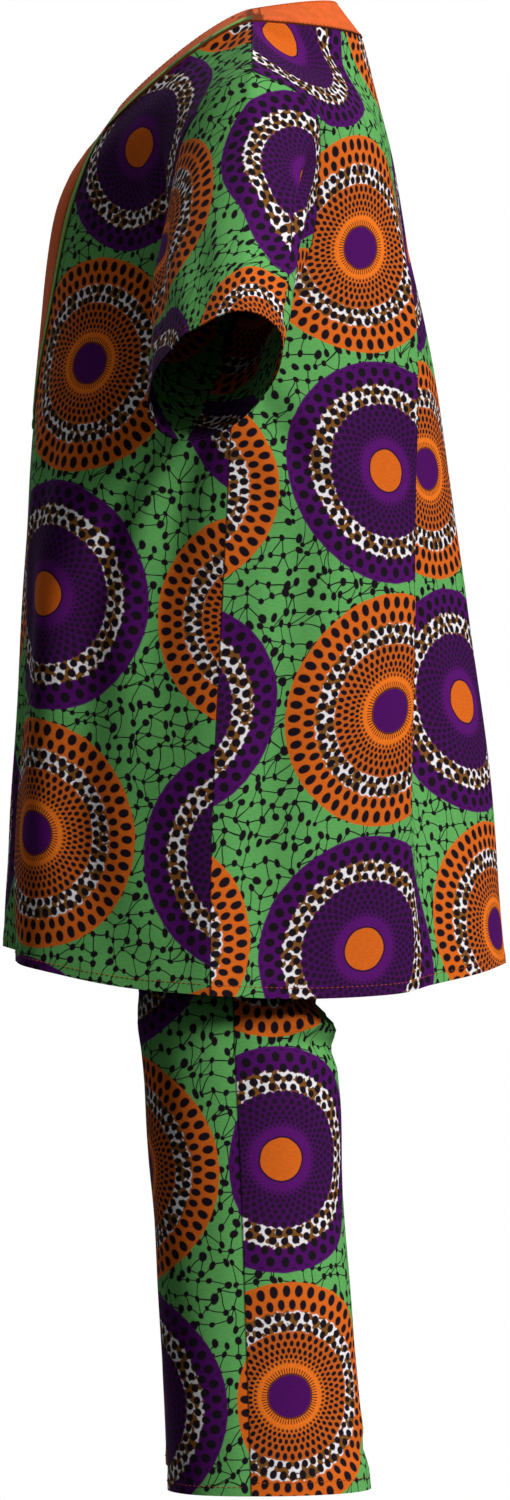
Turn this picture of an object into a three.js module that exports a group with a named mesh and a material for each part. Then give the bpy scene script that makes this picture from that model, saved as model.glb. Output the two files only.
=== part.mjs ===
import * as THREE from "three";

// Tunic and trouser set, filled out as worn. Millimetres, +Z up, front faces -Y, wearer's left is +X.
// The origin is the middle of the neck, level with the tops of the shoulders.

// ---- driving sizes ----
const WALL = 1.6;            // wall of every printed panel
const BAND_WALL = 2.0;       // wall of the neck band and waistband
const APPLIED_WALL = 1.4;    // wall of what is stitched on top of the front
const APPLIED_LIFT = 0.45;   // clear space under what is stitched on top
const SEAM_GAP = 0.3;        // space left between two pieces at a seam
const HALF_COLUMNS = 15;     // grid columns from the centre line to the side
const LOW_ROWS = 10;         // grid rows from the hem to the underarm
const ARM_ROWS = 8;          // grid rows from the underarm to the shoulder
const SLEEVE_ROWS = 6;       // grid rows along a sleeve
const LEG_COLUMNS = 8;       // grid columns across a leg panel
const NECK_COLUMNS = 9;      // grid columns from the centre line to the shoulder point of the neck
const NECK_OUTER = { side: 117, front: 150, back: 105 };   // outer edge of the neck band in plan
const NECK_INNER = { side: 80, front: 122, back: 80 };     // inner edge of the neck band in plan
const TRIM_SHARE = 0.27;     // part of the front band's width under the green strip
const PLACKET_COLUMNS = 2;   // the placket ends on this column of the front, 40 mm out
const PLACKET_ROW = 8;       // and on this row, 386 mm below the neck
const STRIP_SHARE = 0.5;     // part of the next column under a side strip, about 10 mm
const STRIP_DROP = 0.2;      // part of the next row under the bottom strip, about 10 mm
const SLEEVE_HEM = { x: 381, y: -43, z: -366 };            // middle of the sleeve opening
const SLEEVE_TILT = 49;      // sleeve slope below level, degrees
const WAIST_HEIGHT = 36;     // height of the waistband

// ---- body sections: a row for each height from the hem up, [x, y, z] for each named column ----
// columns: centre, inner, fold, crest, turn, side
const FRONT_NET = [
  [[0, -231, -882], [62, -214, -887], [120, -217, -893], [168, -198, -899], [208, -122, -914], [240, -40, -921]],
  [[0, -227, -780], [62, -211, -780], [119, -215, -780], [166, -197, -780], [205, -119, -780], [237, -39, -780]],
  [[0, -218, -640], [62, -207, -640], [118, -208, -640], [166, -190, -640], [203, -110, -640], [235, -33, -640]],
  [[0, -210, -500], [62, -204, -500], [116, -203, -500], [162, -181, -500], [197, -102, -500], [232, -26, -500]],
  [[0, -202, -386], [60, -199, -386], [108, -186, -386], [147, -148, -386], [189, -84, -386], [230, -20, -386]],
  [[0, -194, -300], [58, -186, -300], [100, -160, -300], [135, -118, -300], [180, -64, -300], [226, -12, -300]],
  [[0, -184, -207], [56, -165, -205], [96, -132, -200], [130, -100, -200], [168, -79, -204], [202, -74, -207]],
  [[0, -169, -163], [57, -149, -153], [98, -116, -125], [131, -82, -98], [170, -69, -119], [206, -64, -137]],
  [[0, -150, -134], [58.5, -130, -115], [101, -75, -69], [117, 0, -24], [171, -1, -52], [225, -2, -80]],
];
// columns: centre, flank, valley, crest, turn, side
const BACK_NET = [
  [[0, 239, -898], [66, 213, -906], [118, 168, -915], [164, 158, -922], [211, 46, -925], [240, -40, -921]],
  [[0, 231, -780], [64, 206, -780], [118, 157, -780], [168, 157, -780], [215, 55, -780], [237, -39, -780]],
  [[0, 214, -640], [62, 192, -640], [116, 147, -640], [170, 153, -640], [219, 62, -640], [235, -33, -640]],
  [[0, 193, -500], [58, 177, -500], [110, 147, -500], [162, 154, -500], [220, 66, -500], [232, -26, -500]],
  [[0, 178, -386], [55, 167, -386], [104, 146, -386], [152, 152, -386], [214, 67, -386], [230, -20, -386]],
  [[0, 162, -300], [52, 156, -300], [99, 144, -300], [144, 145, -300], [202, 67, -300], [226, -12, -300]],
  [[0, 143, -207], [50, 143, -207], [96, 138, -207], [138, 128, -207], [176, 97, -207], [204, 57, -215]],
  [[0, 123, -110], [48, 122, -110], [92, 115, -108], [128, 98, -105], [170, 80, -115], [208, 61, -135]],
  [[0, 105, -29], [58.5, 91, -28], [101, 52.5, -26], [117, 0, -24], [171, -1, -52], [225, -2, -80]],
];
// armhole edges from the underarm up to the shoulder tip, a row for each grid row
const ARM_FRONT = [
  [226, -12, -300], [216, -46, -283], [206, -66, -248], [202, -74, -207], [203, -71, -168],
  [207, -62, -135], [213, -46, -110], [220, -25, -91], [225, -2, -80],
];
const ARM_BACK = [
  [226, -12, -300], [218, 22, -288], [209, 46, -256], [204, 57, -215], [203, 59, -178],
  [206, 61, -146], [213, 57, -117], [219, 34, -95], [225, -2, -80],
];
// trouser sections from the hem up: height, side seam x and y, inside seam x and y, front y, back y,
// and how far the inside edge has run along the rise (0 below the crotch, 1 above it)
const LEG_SECTIONS = [
  { z: -1381, sideX: 186, sideY: -2, inX: 46, inY: 18, front: -77, back: 109, rise: 0 },
  { z: -1290, sideX: 186, sideY: -5, inX: 46, inY: 12, front: -81, back: 99, rise: 0 },
  { z: -1200, sideX: 188, sideY: -8, inX: 45, inY: 6, front: -87, back: 91, rise: 0 },
  { z: -1110, sideX: 190, sideY: -11, inX: 44, inY: 2, front: -92, back: 84, rise: 0 },
  { z: -1020, sideX: 192, sideY: -15, inX: 42, inY: -4, front: -98, back: 81, rise: 0 },
  { z: -950, sideX: 194, sideY: -18, inX: 40, inY: -8, front: -105, back: 70, rise: 0 },
  { z: -870, sideX: 196, sideY: -19, inX: 32, inY: -8, front: -110, back: 84, rise: 0 },
  { z: -770, sideX: 198, sideY: -18, inX: 18, inY: -2, front: -116, back: 104, rise: 0 },
  { z: -690, sideX: 198, sideY: -16, inX: 5, inY: 2, front: -122, back: 116, rise: 0 },
  { z: -665, sideX: 197, sideY: -15, inX: 0, inY: 4, front: -124, back: 119, rise: 0.25 },
  { z: -625, sideX: 195, sideY: -14, inX: 0, inY: 4, front: -126, back: 122, rise: 0.75 },
  { z: -570, sideX: 190, sideY: -12, inX: 0, inY: 4, front: -126, back: 124, rise: 1 },
  { z: -500, sideX: 178, sideY: -10, inX: 0, inY: 4, front: -120, back: 112, rise: 1 },
  { z: -440, sideX: 166, sideY: -8, inX: 0, inY: 4, front: -113, back: 100, rise: 1 },
];

// ---- curve helpers ----
const mix = (a, b, t) => a.map((value, axis) => value + (b[axis] - value) * t);
const toward = (a, b) => a.map((value, axis) => 2 * value - b[axis]);
const degrees = (angle) => angle * Math.PI / 180;

// smooth curve through the points at whole numbers of t; before and after stand for the missing ends
function curve(points, t, before = toward(points[0], points[1]), after = null) {
  const last = points.length - 1;
  const end = after ?? toward(points[last], points[last - 1]);
  const step = Math.min(Math.floor(t), last - 1);
  const f = t - step;
  const p0 = step > 0 ? points[step - 1] : before;
  const p1 = points[step];
  const p2 = points[step + 1];
  const p3 = step + 2 <= last ? points[step + 2] : end;
  return p1.map((_, axis) => p1[axis] + 0.5 * f * (p2[axis] - p0[axis]
    + f * (2 * p0[axis] - 5 * p1[axis] + 4 * p2[axis] - p3[axis]
    + f * (3 * (p1[axis] - p2[axis]) + p3[axis] - p0[axis]))));
}

// ---- edges of the body ----
// neck edge at an angle from the shoulder point (0) to the centre line (90 degrees)
function neckEdge(size, front, outer, angle) {
  const x = size.side * Math.cos(angle);
  const reach = Math.sin(angle);
  const top = outer ? -24 : -10;
  const drop = front ? (outer ? -110 : -85) * reach ** 1.32 : (outer ? -5 : 14) * reach;
  return [x, (front ? -size.front : size.back) * reach, top + drop];
}

function topEdge(front, u) {
  const bend = NECK_COLUMNS / HALF_COLUMNS;
  if (u <= bend) {
    return neckEdge(NECK_OUTER, front, true, degrees(90 * (1 - u / bend)));
  }
  return mix([117, 0, -24], [225, -2, -80], (u - bend) / (1 - bend));
}

const SIDE_SEAM = FRONT_NET.slice(0, 6).map((row) => row[5]);

function sideEdge(front, v) {
  return v <= 5 ? curve(SIDE_SEAM, v) : curve(front ? ARM_FRONT : ARM_BACK, (v - 5) * ARM_ROWS / 3);
}

function sectionPoint(net, u, v) {
  const row = net[0].map((_, column) => curve(net.map((line) => line[column]), v));
  return curve(row, u * 5, [-row[1][0], row[1][1], row[1][2]]);
}

// a point of the front or back: u from the centre line (0) to the side (1), v from the hem (0) to the top (8)
function bodyPoint(front, u, v) {
  const net = front ? FRONT_NET : BACK_NET;
  const across = Math.abs(u);
  let point = sectionPoint(net, across, v);
  const sideNow = sectionPoint(net, 1, v);
  const side = sideEdge(front, v);
  const sideShare = Math.max(0, (across - 0.6) / 0.4) ** 2;
  point = point.map((value, axis) => value + (side[axis] - sideNow[axis]) * sideShare);
  const topNow = sectionPoint(net, across, 8);
  const top = topEdge(front, across);
  const topShare = Math.max(0, v - 7) ** 2;
  point = point.map((value, axis) => value + (top[axis] - topNow[axis]) * topShare);
  return u < 0 ? [-point[0], point[1], point[2]] : point;
}

const bodyRows = LOW_ROWS + ARM_ROWS;
const rowHeight = (row) => row <= LOW_ROWS ? row * 5 / LOW_ROWS : 5 + (row - LOW_ROWS) * 3 / ARM_ROWS;

function grid(rows, columns, point) {
  return Array.from({ length: rows + 1 }, (_, i) => Array.from({ length: columns + 1 }, (_, j) => point(i, j)));
}

const mirrored = (source) => source.map((row) => row.map(([x, y, z]) => [-x, y, z]).reverse());

function bodyGrid(front) {
  const sign = front ? 1 : -1;
  return grid(bodyRows, 2 * HALF_COLUMNS,
    (i, j) => bodyPoint(front, sign * (j - HALF_COLUMNS) / HALF_COLUMNS, rowHeight(i)));
}

function neckBandGrid(front) {
  const shares = [0, TRIM_SHARE, 1];
  return grid(shares.length - 1, 2 * NECK_COLUMNS, (i, j) => {
    const step = (front ? 1 : -1) * (j - NECK_COLUMNS);
    const angle = degrees(90 - 90 * Math.abs(step) / NECK_COLUMNS);
    const outer = neckEdge(NECK_OUTER, front, true, angle);
    const inner = neckEdge(NECK_INNER, front, false, angle);
    const [x, y, z] = mix(outer, inner, shares[i]);
    return [step < 0 ? -x : x, y, z];
  });
}

// sleeve: round the armhole from the shoulder tip down the front, under, and up the back
function sleevePoint(around, along) {
  const turn = around * 2 * ARM_ROWS;
  const start = turn <= ARM_ROWS ? curve(ARM_FRONT, ARM_ROWS - turn) : curve(ARM_BACK, turn - ARM_ROWS);
  const angle = 2 * Math.PI * around;
  const up = 82 * Math.cos(angle);
  const back = 10 + 32 * Math.cos(angle) - 51 * Math.sin(angle);
  const tilt = degrees(SLEEVE_TILT);
  const hem = [SLEEVE_HEM.x + up * Math.sin(tilt), SLEEVE_HEM.y + back, SLEEVE_HEM.z + up * Math.cos(tilt)];
  const swell = Math.sin(Math.PI * along);
  const [x, y, z] = mix(start, hem, along);
  return [x + 7 * swell * Math.cos(angle), y - 6 * swell * Math.sin(angle), z + 6 * swell * Math.cos(angle)];
}

function sleeveGrid() {
  const around = 2 * ARM_ROWS;
  return grid(SLEEVE_ROWS, around, (i, j) => sleevePoint(j / around, i / SLEEVE_ROWS));
}

// leg panel: across runs from the inside seam or rise (0) to the side seam (1)
function legPoint(front, across, section) {
  const s = section;
  const depth = front ? s.front : s.back;
  const seamY = s.inY + (s.sideY - s.inY) * across;
  const half = Math.PI * (1 - across);
  const tube = [(s.inX + s.sideX) / 2 + (s.sideX - s.inX) / 2 * Math.cos(half),
    seamY + (depth - (s.inY + s.sideY) / 2) * Math.sin(half) ** 0.85];
  const quarter = Math.PI / 2 * across;
  const trunk = [s.sideX * Math.sin(quarter) ** 0.9, s.sideY + (depth - s.sideY) * Math.cos(quarter) ** 0.9];
  return [tube[0] + (trunk[0] - tube[0]) * s.rise, tube[1] + (trunk[1] - tube[1]) * s.rise, s.z];
}

function legGrid(front) {
  return grid(LEG_SECTIONS.length - 1, LEG_COLUMNS, (i, j) => {
    const across = front ? j / LEG_COLUMNS : 1 - j / LEG_COLUMNS;
    return legPoint(front, across, LEG_SECTIONS[i]);
  });
}

function waistGrid() {
  const top = LEG_SECTIONS[LEG_SECTIONS.length - 1];
  const frontLeft = legGrid(true).at(-1);
  const backLeft = legGrid(false).at(-1);
  const ring = [...mirrored([frontLeft])[0], ...frontLeft.slice(1), ...backLeft.slice(1),
    ...mirrored([backLeft])[0].slice(1)];
  return [0, 0.5, 1].map((share) => ring.map(([x, y]) => [x * (1 - 0.02 * share), y * (1 - 0.02 * share),
    top.z + WAIST_HEIGHT * share]));
}

// ---- walls ----
const keyOf = (point) => point.map((value) => Math.round(value * 50)).join(",");
const seamNormals = new Map();

function gridNormals(points, closed) {
  const rows = points.length - 1;
  const columns = points[0].length - 1;
  const sums = points.map((row) => row.map(() => new THREE.Vector3()));
  for (let i = 0; i < rows; i += 1) {
    for (let j = 0; j < columns; j += 1) {
      const a = new THREE.Vector3(...points[i][j]);
      const b = new THREE.Vector3(...points[i][j + 1]);
      const c = new THREE.Vector3(...points[i + 1][j + 1]);
      const d = new THREE.Vector3(...points[i + 1][j]);
      const normal = c.clone().sub(a).cross(d.clone().sub(b));
      [[i, j], [i, j + 1], [i + 1, j + 1], [i + 1, j]].forEach(([r, k]) => sums[r][k].add(normal));
    }
  }
  if (closed) {
    sums.forEach((row) => {
      row[0].add(row[columns]);
      row[columns].copy(row[0]);
    });
  }
  return sums.map((row) => row.map((normal) => normal.normalize()));
}

function addPanel(name, points, options = {}) {
  const panel = { name, points, closed: false, wall: WALL, sewn: "", slot: "", ...options };
  panel.normals = gridNormals(points, panel.closed);
  const last = points[0].length - 1;
  points.forEach((row, i) => row.forEach((point, j) => {
    if (panel.closed && j === last) {
      return;
    }
    const key = keyOf(point);
    const shared = seamNormals.get(key) ?? { sum: new THREE.Vector3(), count: 0 };
    shared.sum.add(panel.normals[i][j]);
    shared.count += 1;
    seamNormals.set(key, shared);
  }));
  return panel;
}

// the two skins of a panel: points moved half a wall each way, sewn edges drawn back by half the seam gap
function skins(panel) {
  const { points, normals, closed, wall, sewn } = panel;
  const rows = points.length - 1;
  const columns = points[0].length - 1;
  const outer = [];
  const inner = [];
  points.forEach((row, i) => {
    outer.push([]);
    inner.push([]);
    row.forEach((point, j) => {
      const here = new THREE.Vector3(...point);
      const { sum, count } = seamNormals.get(keyOf(point));
      const shared = sum.clone().normalize();
      const reach = wall / 2 / Math.max(0.55, sum.length() / count);
      const draw = new THREE.Vector3();
      // square to the seam, within the cloth
      const pull = (from, to, sign) => {
        const along = new THREE.Vector3(...to).sub(new THREE.Vector3(...from));
        draw.add(normals[i][j].clone().cross(along).setLength(sign * SEAM_GAP / 2));
      };
      const left = row[j > 0 ? j - 1 : closed ? columns - 1 : 0];
      const right = row[j < columns ? j + 1 : closed ? 1 : columns];
      const low = points[Math.max(i - 1, 0)][j];
      const high = points[Math.min(i + 1, rows)][j];
      if (i === 0 && sewn.includes("bottom")) {
        pull(left, right, 1);
      }
      if (i === rows && sewn.includes("top")) {
        pull(left, right, -1);
      }
      if (!closed && j === 0 && sewn.includes("start")) {
        pull(low, high, -1);
      }
      if (!closed && j === columns && sewn.includes("end")) {
        pull(low, high, 1);
      }
      outer[i].push(here.clone().add(draw).addScaledVector(shared, reach));
      inner[i].push(here.clone().add(draw).addScaledVector(shared, -reach));
    });
  });
  return { outer, inner };
}

// closed solid between two skins
function solid(name, outer, inner, closed, colour) {
  const rows = outer.length - 1;
  const columns = outer[0].length - 1;
  const positions = [];
  const put = (...corners) => corners.forEach((corner) => positions.push(corner.x, corner.y, corner.z));
  const quad = (a, b, c, d) => {
    put(a, b, c);
    put(a, c, d);
  };
  for (let i = 0; i < rows; i += 1) {
    for (let j = 0; j < columns; j += 1) {
      quad(outer[i][j], outer[i][j + 1], outer[i + 1][j + 1], outer[i + 1][j]);
      quad(inner[i][j], inner[i + 1][j], inner[i + 1][j + 1], inner[i][j + 1]);
    }
  }
  for (let j = 0; j < columns; j += 1) {
    quad(outer[0][j], inner[0][j], inner[0][j + 1], outer[0][j + 1]);
    quad(outer[rows][j + 1], inner[rows][j + 1], inner[rows][j], outer[rows][j]);
  }
  if (!closed) {
    for (let i = 0; i < rows; i += 1) {
      quad(outer[i + 1][0], inner[i + 1][0], inner[i][0], outer[i][0]);
      quad(inner[i][columns], inner[i + 1][columns], outer[i + 1][columns], outer[i][columns]);
    }
  }
  const geometry = new THREE.BufferGeometry();
  geometry.setAttribute("position", new THREE.Float32BufferAttribute(positions, 3));
  geometry.computeVertexNormals();
  const mesh = new THREE.Mesh(geometry, new THREE.MeshStandardMaterial({ color: colour, roughness: 0.9 }));
  mesh.name = name;
  return mesh;
}

// a strip stitched on top of a panel, from the panel's own outer skin moved out
function applied(name, skin, rowSpots, columnSpots, colour) {
  const at = (rows, i, j) => {
    const r = Math.min(Math.floor(i), rows.length - 2);
    const c = Math.min(Math.floor(j), rows[0].length - 2);
    const low = rows[r][c].clone().lerp(rows[r][c + 1], j - c);
    const high = rows[r + 1][c].clone().lerp(rows[r + 1][c + 1], j - c);
    return low.lerp(high, i - r);
  };
  const lower = [];
  const upper = [];
  rowSpots.forEach((i) => {
    lower.push([]);
    upper.push([]);
    columnSpots.forEach((j) => {
      const face = at(skin.outer, i, j);
      const out = face.clone().sub(at(skin.inner, i, j)).normalize();
      lower.at(-1).push(face.clone().addScaledVector(out, APPLIED_LIFT));
      upper.at(-1).push(face.clone().addScaledVector(out, APPLIED_LIFT + APPLIED_WALL));
    });
  });
  return solid(name, upper, lower, false, colour);
}

// ---- pieces ----
const PRINT = 0x4ca248;
const PLAIN = 0xe66a22;
const TRIM = 0x8cc468;

const frontBody = addPanel("tunic_front", bodyGrid(true), { sewn: "top start end" });
const backBody = addPanel("tunic_back", bodyGrid(false), { sewn: "top start end" });
const bandFront = addPanel("neck_band_front", neckBandGrid(true), { sewn: "bottom start end", wall: BAND_WALL });
const bandBack = addPanel("neck_band_back", neckBandGrid(false), { sewn: "bottom start end", wall: BAND_WALL });
const sleeveLeft = addPanel("sleeve_left", sleeveGrid(), { sewn: "bottom", closed: true });
const sleeveRight = addPanel("sleeve_right", mirrored(sleeveGrid()), { sewn: "bottom", closed: true });
const legSides = { sewn: "top start end" };
const panels = [frontBody, backBody, sleeveLeft, sleeveRight,
  addPanel("trouser_front_left", legGrid(true), legSides),
  addPanel("trouser_front_right", mirrored(legGrid(true)), legSides),
  addPanel("trouser_back_left", legGrid(false), legSides),
  addPanel("trouser_back_right", mirrored(legGrid(false)), legSides)];
const plainPanels = [bandFront, bandBack,
  addPanel("waistband", waistGrid(), { sewn: "bottom", wall: BAND_WALL, closed: true })];

const group = new THREE.Group();
group.name = "tunic_and_trouser_set";
const addSolid = (panel, colour) => {
  const { outer, inner } = skins(panel);
  if (panel.closed) {
    outer.forEach((row) => row.splice(-1, 1, row[0]));
    inner.forEach((row) => row.splice(-1, 1, row[0]));
  }
  group.add(solid(panel.name, outer, inner, panel.closed, colour));
};
panels.forEach((panel) => addSolid(panel, PRINT));
plainPanels.forEach((panel) => addSolid(panel, PLAIN));

const frontSkin = skins(frontBody);
const bandSkin = skins(bandFront);
const middle = HALF_COLUMNS;
const edge = PLACKET_COLUMNS;
const seamStep = 0.02;
const rowsDown = Array.from({ length: bodyRows - PLACKET_ROW + 1 }, (_, k) => PLACKET_ROW + k);
const placketColumns = Array.from({ length: 2 * edge + 1 }, (_, k) => middle - edge + k);
group.add(applied("placket", frontSkin, rowsDown, placketColumns, PLAIN));
const stripColumns = [edge + seamStep, edge + STRIP_SHARE];
group.add(applied("placket_trim_left", frontSkin, rowsDown, stripColumns.map((k) => middle + k), TRIM));
group.add(applied("placket_trim_right", frontSkin, rowsDown,
  [...stripColumns].reverse().map((k) => middle - k), TRIM));
const across = [-edge - STRIP_SHARE, -edge, -1, 0, 1, edge, edge + STRIP_SHARE];
group.add(applied("placket_trim_bottom", frontSkin,
  [PLACKET_ROW - STRIP_DROP, PLACKET_ROW - seamStep / 2], across.map((k) => middle + k), TRIM));
const roundNeck = [edge + STRIP_SHARE + seamStep, 3, 4, 5, 6, 7, 8, 9];
group.add(applied("neck_trim_left", bandSkin, [0, 1], roundNeck.map((k) => NECK_COLUMNS + k), TRIM));
group.add(applied("neck_trim_right", bandSkin, [0, 1],
  [...roundNeck].reverse().map((k) => NECK_COLUMNS - k), TRIM));

export default group;
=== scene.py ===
"""Tunic and trouser set in printed cotton, filled out as worn.

The tunic's front and back, the sleeves, the neck band, the placket with its green strips and the four
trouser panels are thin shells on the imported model's walls. Their print follows the cloth: every panel
carries a UV map of its own flat cut, in repeats of the roundel print.
"""
import math
from functools import lru_cache, wraps

import bpy
import numpy as np
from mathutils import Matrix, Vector


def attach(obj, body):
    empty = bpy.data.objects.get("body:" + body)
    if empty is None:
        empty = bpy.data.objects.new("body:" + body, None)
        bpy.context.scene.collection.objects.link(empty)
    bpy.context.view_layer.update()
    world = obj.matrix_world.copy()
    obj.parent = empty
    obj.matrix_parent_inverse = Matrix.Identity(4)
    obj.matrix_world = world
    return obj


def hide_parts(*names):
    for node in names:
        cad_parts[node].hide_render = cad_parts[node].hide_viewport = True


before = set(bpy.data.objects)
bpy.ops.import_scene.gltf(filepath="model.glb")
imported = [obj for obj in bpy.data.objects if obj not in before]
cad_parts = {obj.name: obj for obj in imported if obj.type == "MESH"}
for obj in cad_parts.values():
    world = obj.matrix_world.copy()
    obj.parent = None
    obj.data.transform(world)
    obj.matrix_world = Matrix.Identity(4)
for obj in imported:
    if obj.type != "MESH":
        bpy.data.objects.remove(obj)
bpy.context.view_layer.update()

bl_info = {
    "name": "Tunic and trouser set",
    "version": (1, 0, 0),
    "blender": (4, 5, 0),
    "location": "View3D > Sidebar > Garment",
    "description": "Builds a printed cotton tunic and trouser set over its packed model",
    "category": "Object",
}

# ---------------------------------------------------------------- cut and sizes, millimetres
# a row for each height from the hem up: distances across, depths and heights of its six columns,
# which are centre, inner, fold, crest, turn and side
FRONT_NET = np.array([
    [[0, 62, 120, 168, 208, 240], [-231, -214, -217, -198, -122, -40], [-882, -887, -893, -899, -914, -921]],
    [[0, 62, 119, 166, 205, 237], [-227, -211, -215, -197, -119, -39], [-780, -780, -780, -780, -780, -780]],
    [[0, 62, 118, 166, 203, 235], [-218, -207, -208, -190, -110, -33], [-640, -640, -640, -640, -640, -640]],
    [[0, 62, 116, 162, 197, 232], [-210, -204, -203, -181, -102, -26], [-500, -500, -500, -500, -500, -500]],
    [[0, 60, 108, 147, 189, 230], [-202, -199, -186, -148, -84, -20], [-386, -386, -386, -386, -386, -386]],
    [[0, 58, 100, 135, 180, 226], [-194, -186, -160, -118, -64, -12], [-300, -300, -300, -300, -300, -300]],
    [[0, 56, 96, 130, 168, 202], [-184, -165, -132, -100, -79, -74], [-207, -205, -200, -200, -204, -207]],
    [[0, 57, 98, 131, 170, 206], [-169, -149, -116, -82, -69, -64], [-163, -153, -125, -98, -119, -137]],
    [[0, 58.5, 101, 117, 171, 225], [-150, -130, -75, 0, -1, -2], [-134, -115, -69, -24, -52, -80]],
], float).transpose(0, 2, 1)
# columns centre, flank, valley, crest, turn and side
BACK_NET = np.array([
    [[0, 66, 120, 172, 211, 240], [239, 213, 166, 128, 46, -40], [-898, -906, -915, -922, -925, -921]],
    [[0, 64, 118, 168, 215, 237], [231, 206, 152, 138, 55, -39], [-780, -780, -780, -780, -780, -780]],
    [[0, 62, 116, 170, 219, 235], [214, 192, 138, 144, 62, -33], [-640, -640, -640, -640, -640, -640]],
    [[0, 58, 110, 162, 220, 232], [193, 177, 138, 143, 66, -26], [-500, -500, -500, -500, -500, -500]],
    [[0, 55, 104, 152, 214, 230], [178, 167, 143, 147, 67, -20], [-386, -386, -386, -386, -386, -386]],
    [[0, 52, 99, 144, 202, 226], [162, 156, 144, 145, 67, -12], [-300, -300, -300, -300, -300, -300]],
    [[0, 50, 96, 138, 176, 204], [143, 143, 138, 128, 97, 57], [-207, -207, -207, -207, -207, -215]],
    [[0, 48, 92, 128, 170, 208], [123, 122, 115, 98, 80, 61], [-110, -110, -108, -105, -115, -135]],
    [[0, 58.5, 101, 117, 171, 225], [105, 91, 52.5, 0, -1, -2], [-29, -28, -26, -24, -52, -80]],
], float).transpose(0, 2, 1)
UNDERARM_ROW = 5         # the table row at the underarm
TOP_ROW = 8
SIDE_PULL = 0.6          # share of the half width past which the side edge pulls on a body panel
# armhole edges from the underarm up to the shoulder tip
ARM_FRONT = np.array([
    [226, -12, -300], [216, -46, -283], [206, -66, -248], [202, -74, -207], [203, -71, -168],
    [207, -62, -135], [213, -46, -110], [220, -25, -91], [225, -2, -80]], float)
ARM_BACK = np.array([
    [226, -12, -300], [218, 22, -288], [209, 46, -256], [204, 57, -215], [203, 59, -178],
    [206, 61, -146], [213, 57, -117], [219, 34, -95], [225, -2, -80]], float)
ARM_STEPS = 8
# trouser sections from the hem up: height, side x, side y, inside x, inside y, front y, back y, rise share
LEG_SECTIONS = np.array([
    [-1381, 186, -2, 46, 18, -77, 109, 0], [-1290, 186, -5, 46, 12, -81, 99, 0],
    [-1200, 188, -8, 45, 6, -87, 91, 0], [-1110, 190, -11, 44, 2, -92, 84, 0],
    [-1020, 192, -15, 42, -4, -98, 81, 0], [-950, 194, -18, 40, -8, -105, 70, 0],
    [-870, 196, -19, 32, -8, -110, 84, 0], [-770, 198, -18, 18, -2, -116, 104, 0],
    [-690, 198, -16, 5, 2, -122, 116, 0], [-665, 197, -15, 0, 4, -124, 119, 0.25],
    [-625, 195, -14, 0, 4, -126, 122, 0.75], [-570, 190, -12, 0, 4, -126, 124, 1],
    [-500, 178, -10, 0, 4, -120, 112, 1], [-440, 166, -8, 0, 4, -113, 100, 1]], float)
TUBE_POWER = 0.85        # how square the leg's section is, 1 for an oval
TRUNK_POWER = 0.9
# neck edges: half width at the shoulders, reach to the front and back, height at the shoulder points and
# how much it changes down to the middle of the front and of the back
NECK_OUTER = {"side": 117, "front": 150, "back": 105, "height": -24, "front_fall": -110, "back_fall": -5}
NECK_INNER = {"side": 80, "front": 122, "back": 80, "height": -10, "front_fall": -85, "back_fall": 14}
NECK_POWER = 1.32        # how late the front neck edge falls
NECK_BEND = 0.6          # where the neck edge ends and the shoulder seam starts, from the centre line
SHOULDER_POINT = np.array([117.0, 0, -24])
SHOULDER_TIP = np.array([225.0, -2, -80])
TRIM_SHARE = 0.27        # part of the front band's width under the green strip
PLACKET_HALF = 2 / 15    # the placket's edge, from the centre line
STRIP_HALF = 2.5 / 15    # the side strip's outer edge
STRIP_GAP = 0.02 / 15    # between a strip and what it borders
PLACKET_FOOT = 4.0       # the placket's lower edge, in rows of the front table
STRIP_FOOT = 3.9
SEAM_CLEAR = 0.1         # grid rows left between a strip and the neck seam
FOOT_CLEAR = 0.15        # and between the placket's foot and the strip under it
SLEEVE_HEM = np.array([381.0, -43.0, -366.0])
SLEEVE_TILT = math.radians(49)
SLEEVE_OPENING = 82      # half the opening's long way
SLEEVE_LEAN = 5, 24, 54  # the opening toward the back: at its middle, by the cosine and by the sine
SLEEVE_SWELL = -9, 6, 9  # of its middle: outward, to the front at the front side, and at the back side
SLEEVE_RISE = -5, 3      # of its middle: upward all round, and by the cosine
WAIST_HEIGHT = 36
WAIST_TAPER = 0.02
MM = 0.001

# soft folds of each panel on its flat cut, metres: from (across, along) to (across, along), depth, half
# width; along is up from a hem on the body and legs, and down from the shoulder on a sleeve
FRONT_FOLDS = [
    [0.335, 0.600, 0.215, 0.370, 0.0045, 0.014], [0.330, 0.560, 0.285, 0.270, 0.0040, 0.017],
    [0.245, 0.470, 0.232, 0.030, 0.0050, 0.022], [0.095, 0.330, 0.085, 0.000, 0.0045, 0.021],
    [0.200, 0.790, 0.262, 0.640, 0.0035, 0.012], [0.150, 0.520, 0.128, 0.230, 0.0025, 0.018],
    [-0.325, 0.590, -0.200, 0.340, 0.0045, 0.015], [-0.335, 0.540, -0.300, 0.240, 0.0035, 0.016],
    [-0.230, 0.440, -0.240, 0.020, 0.0050, 0.023], [-0.100, 0.300, -0.078, 0.000, 0.0040, 0.020],
    [-0.190, 0.780, -0.255, 0.650, 0.0035, 0.013], [-0.020, 0.330, -0.010, 0.060, 0.0025, 0.024]]
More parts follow.
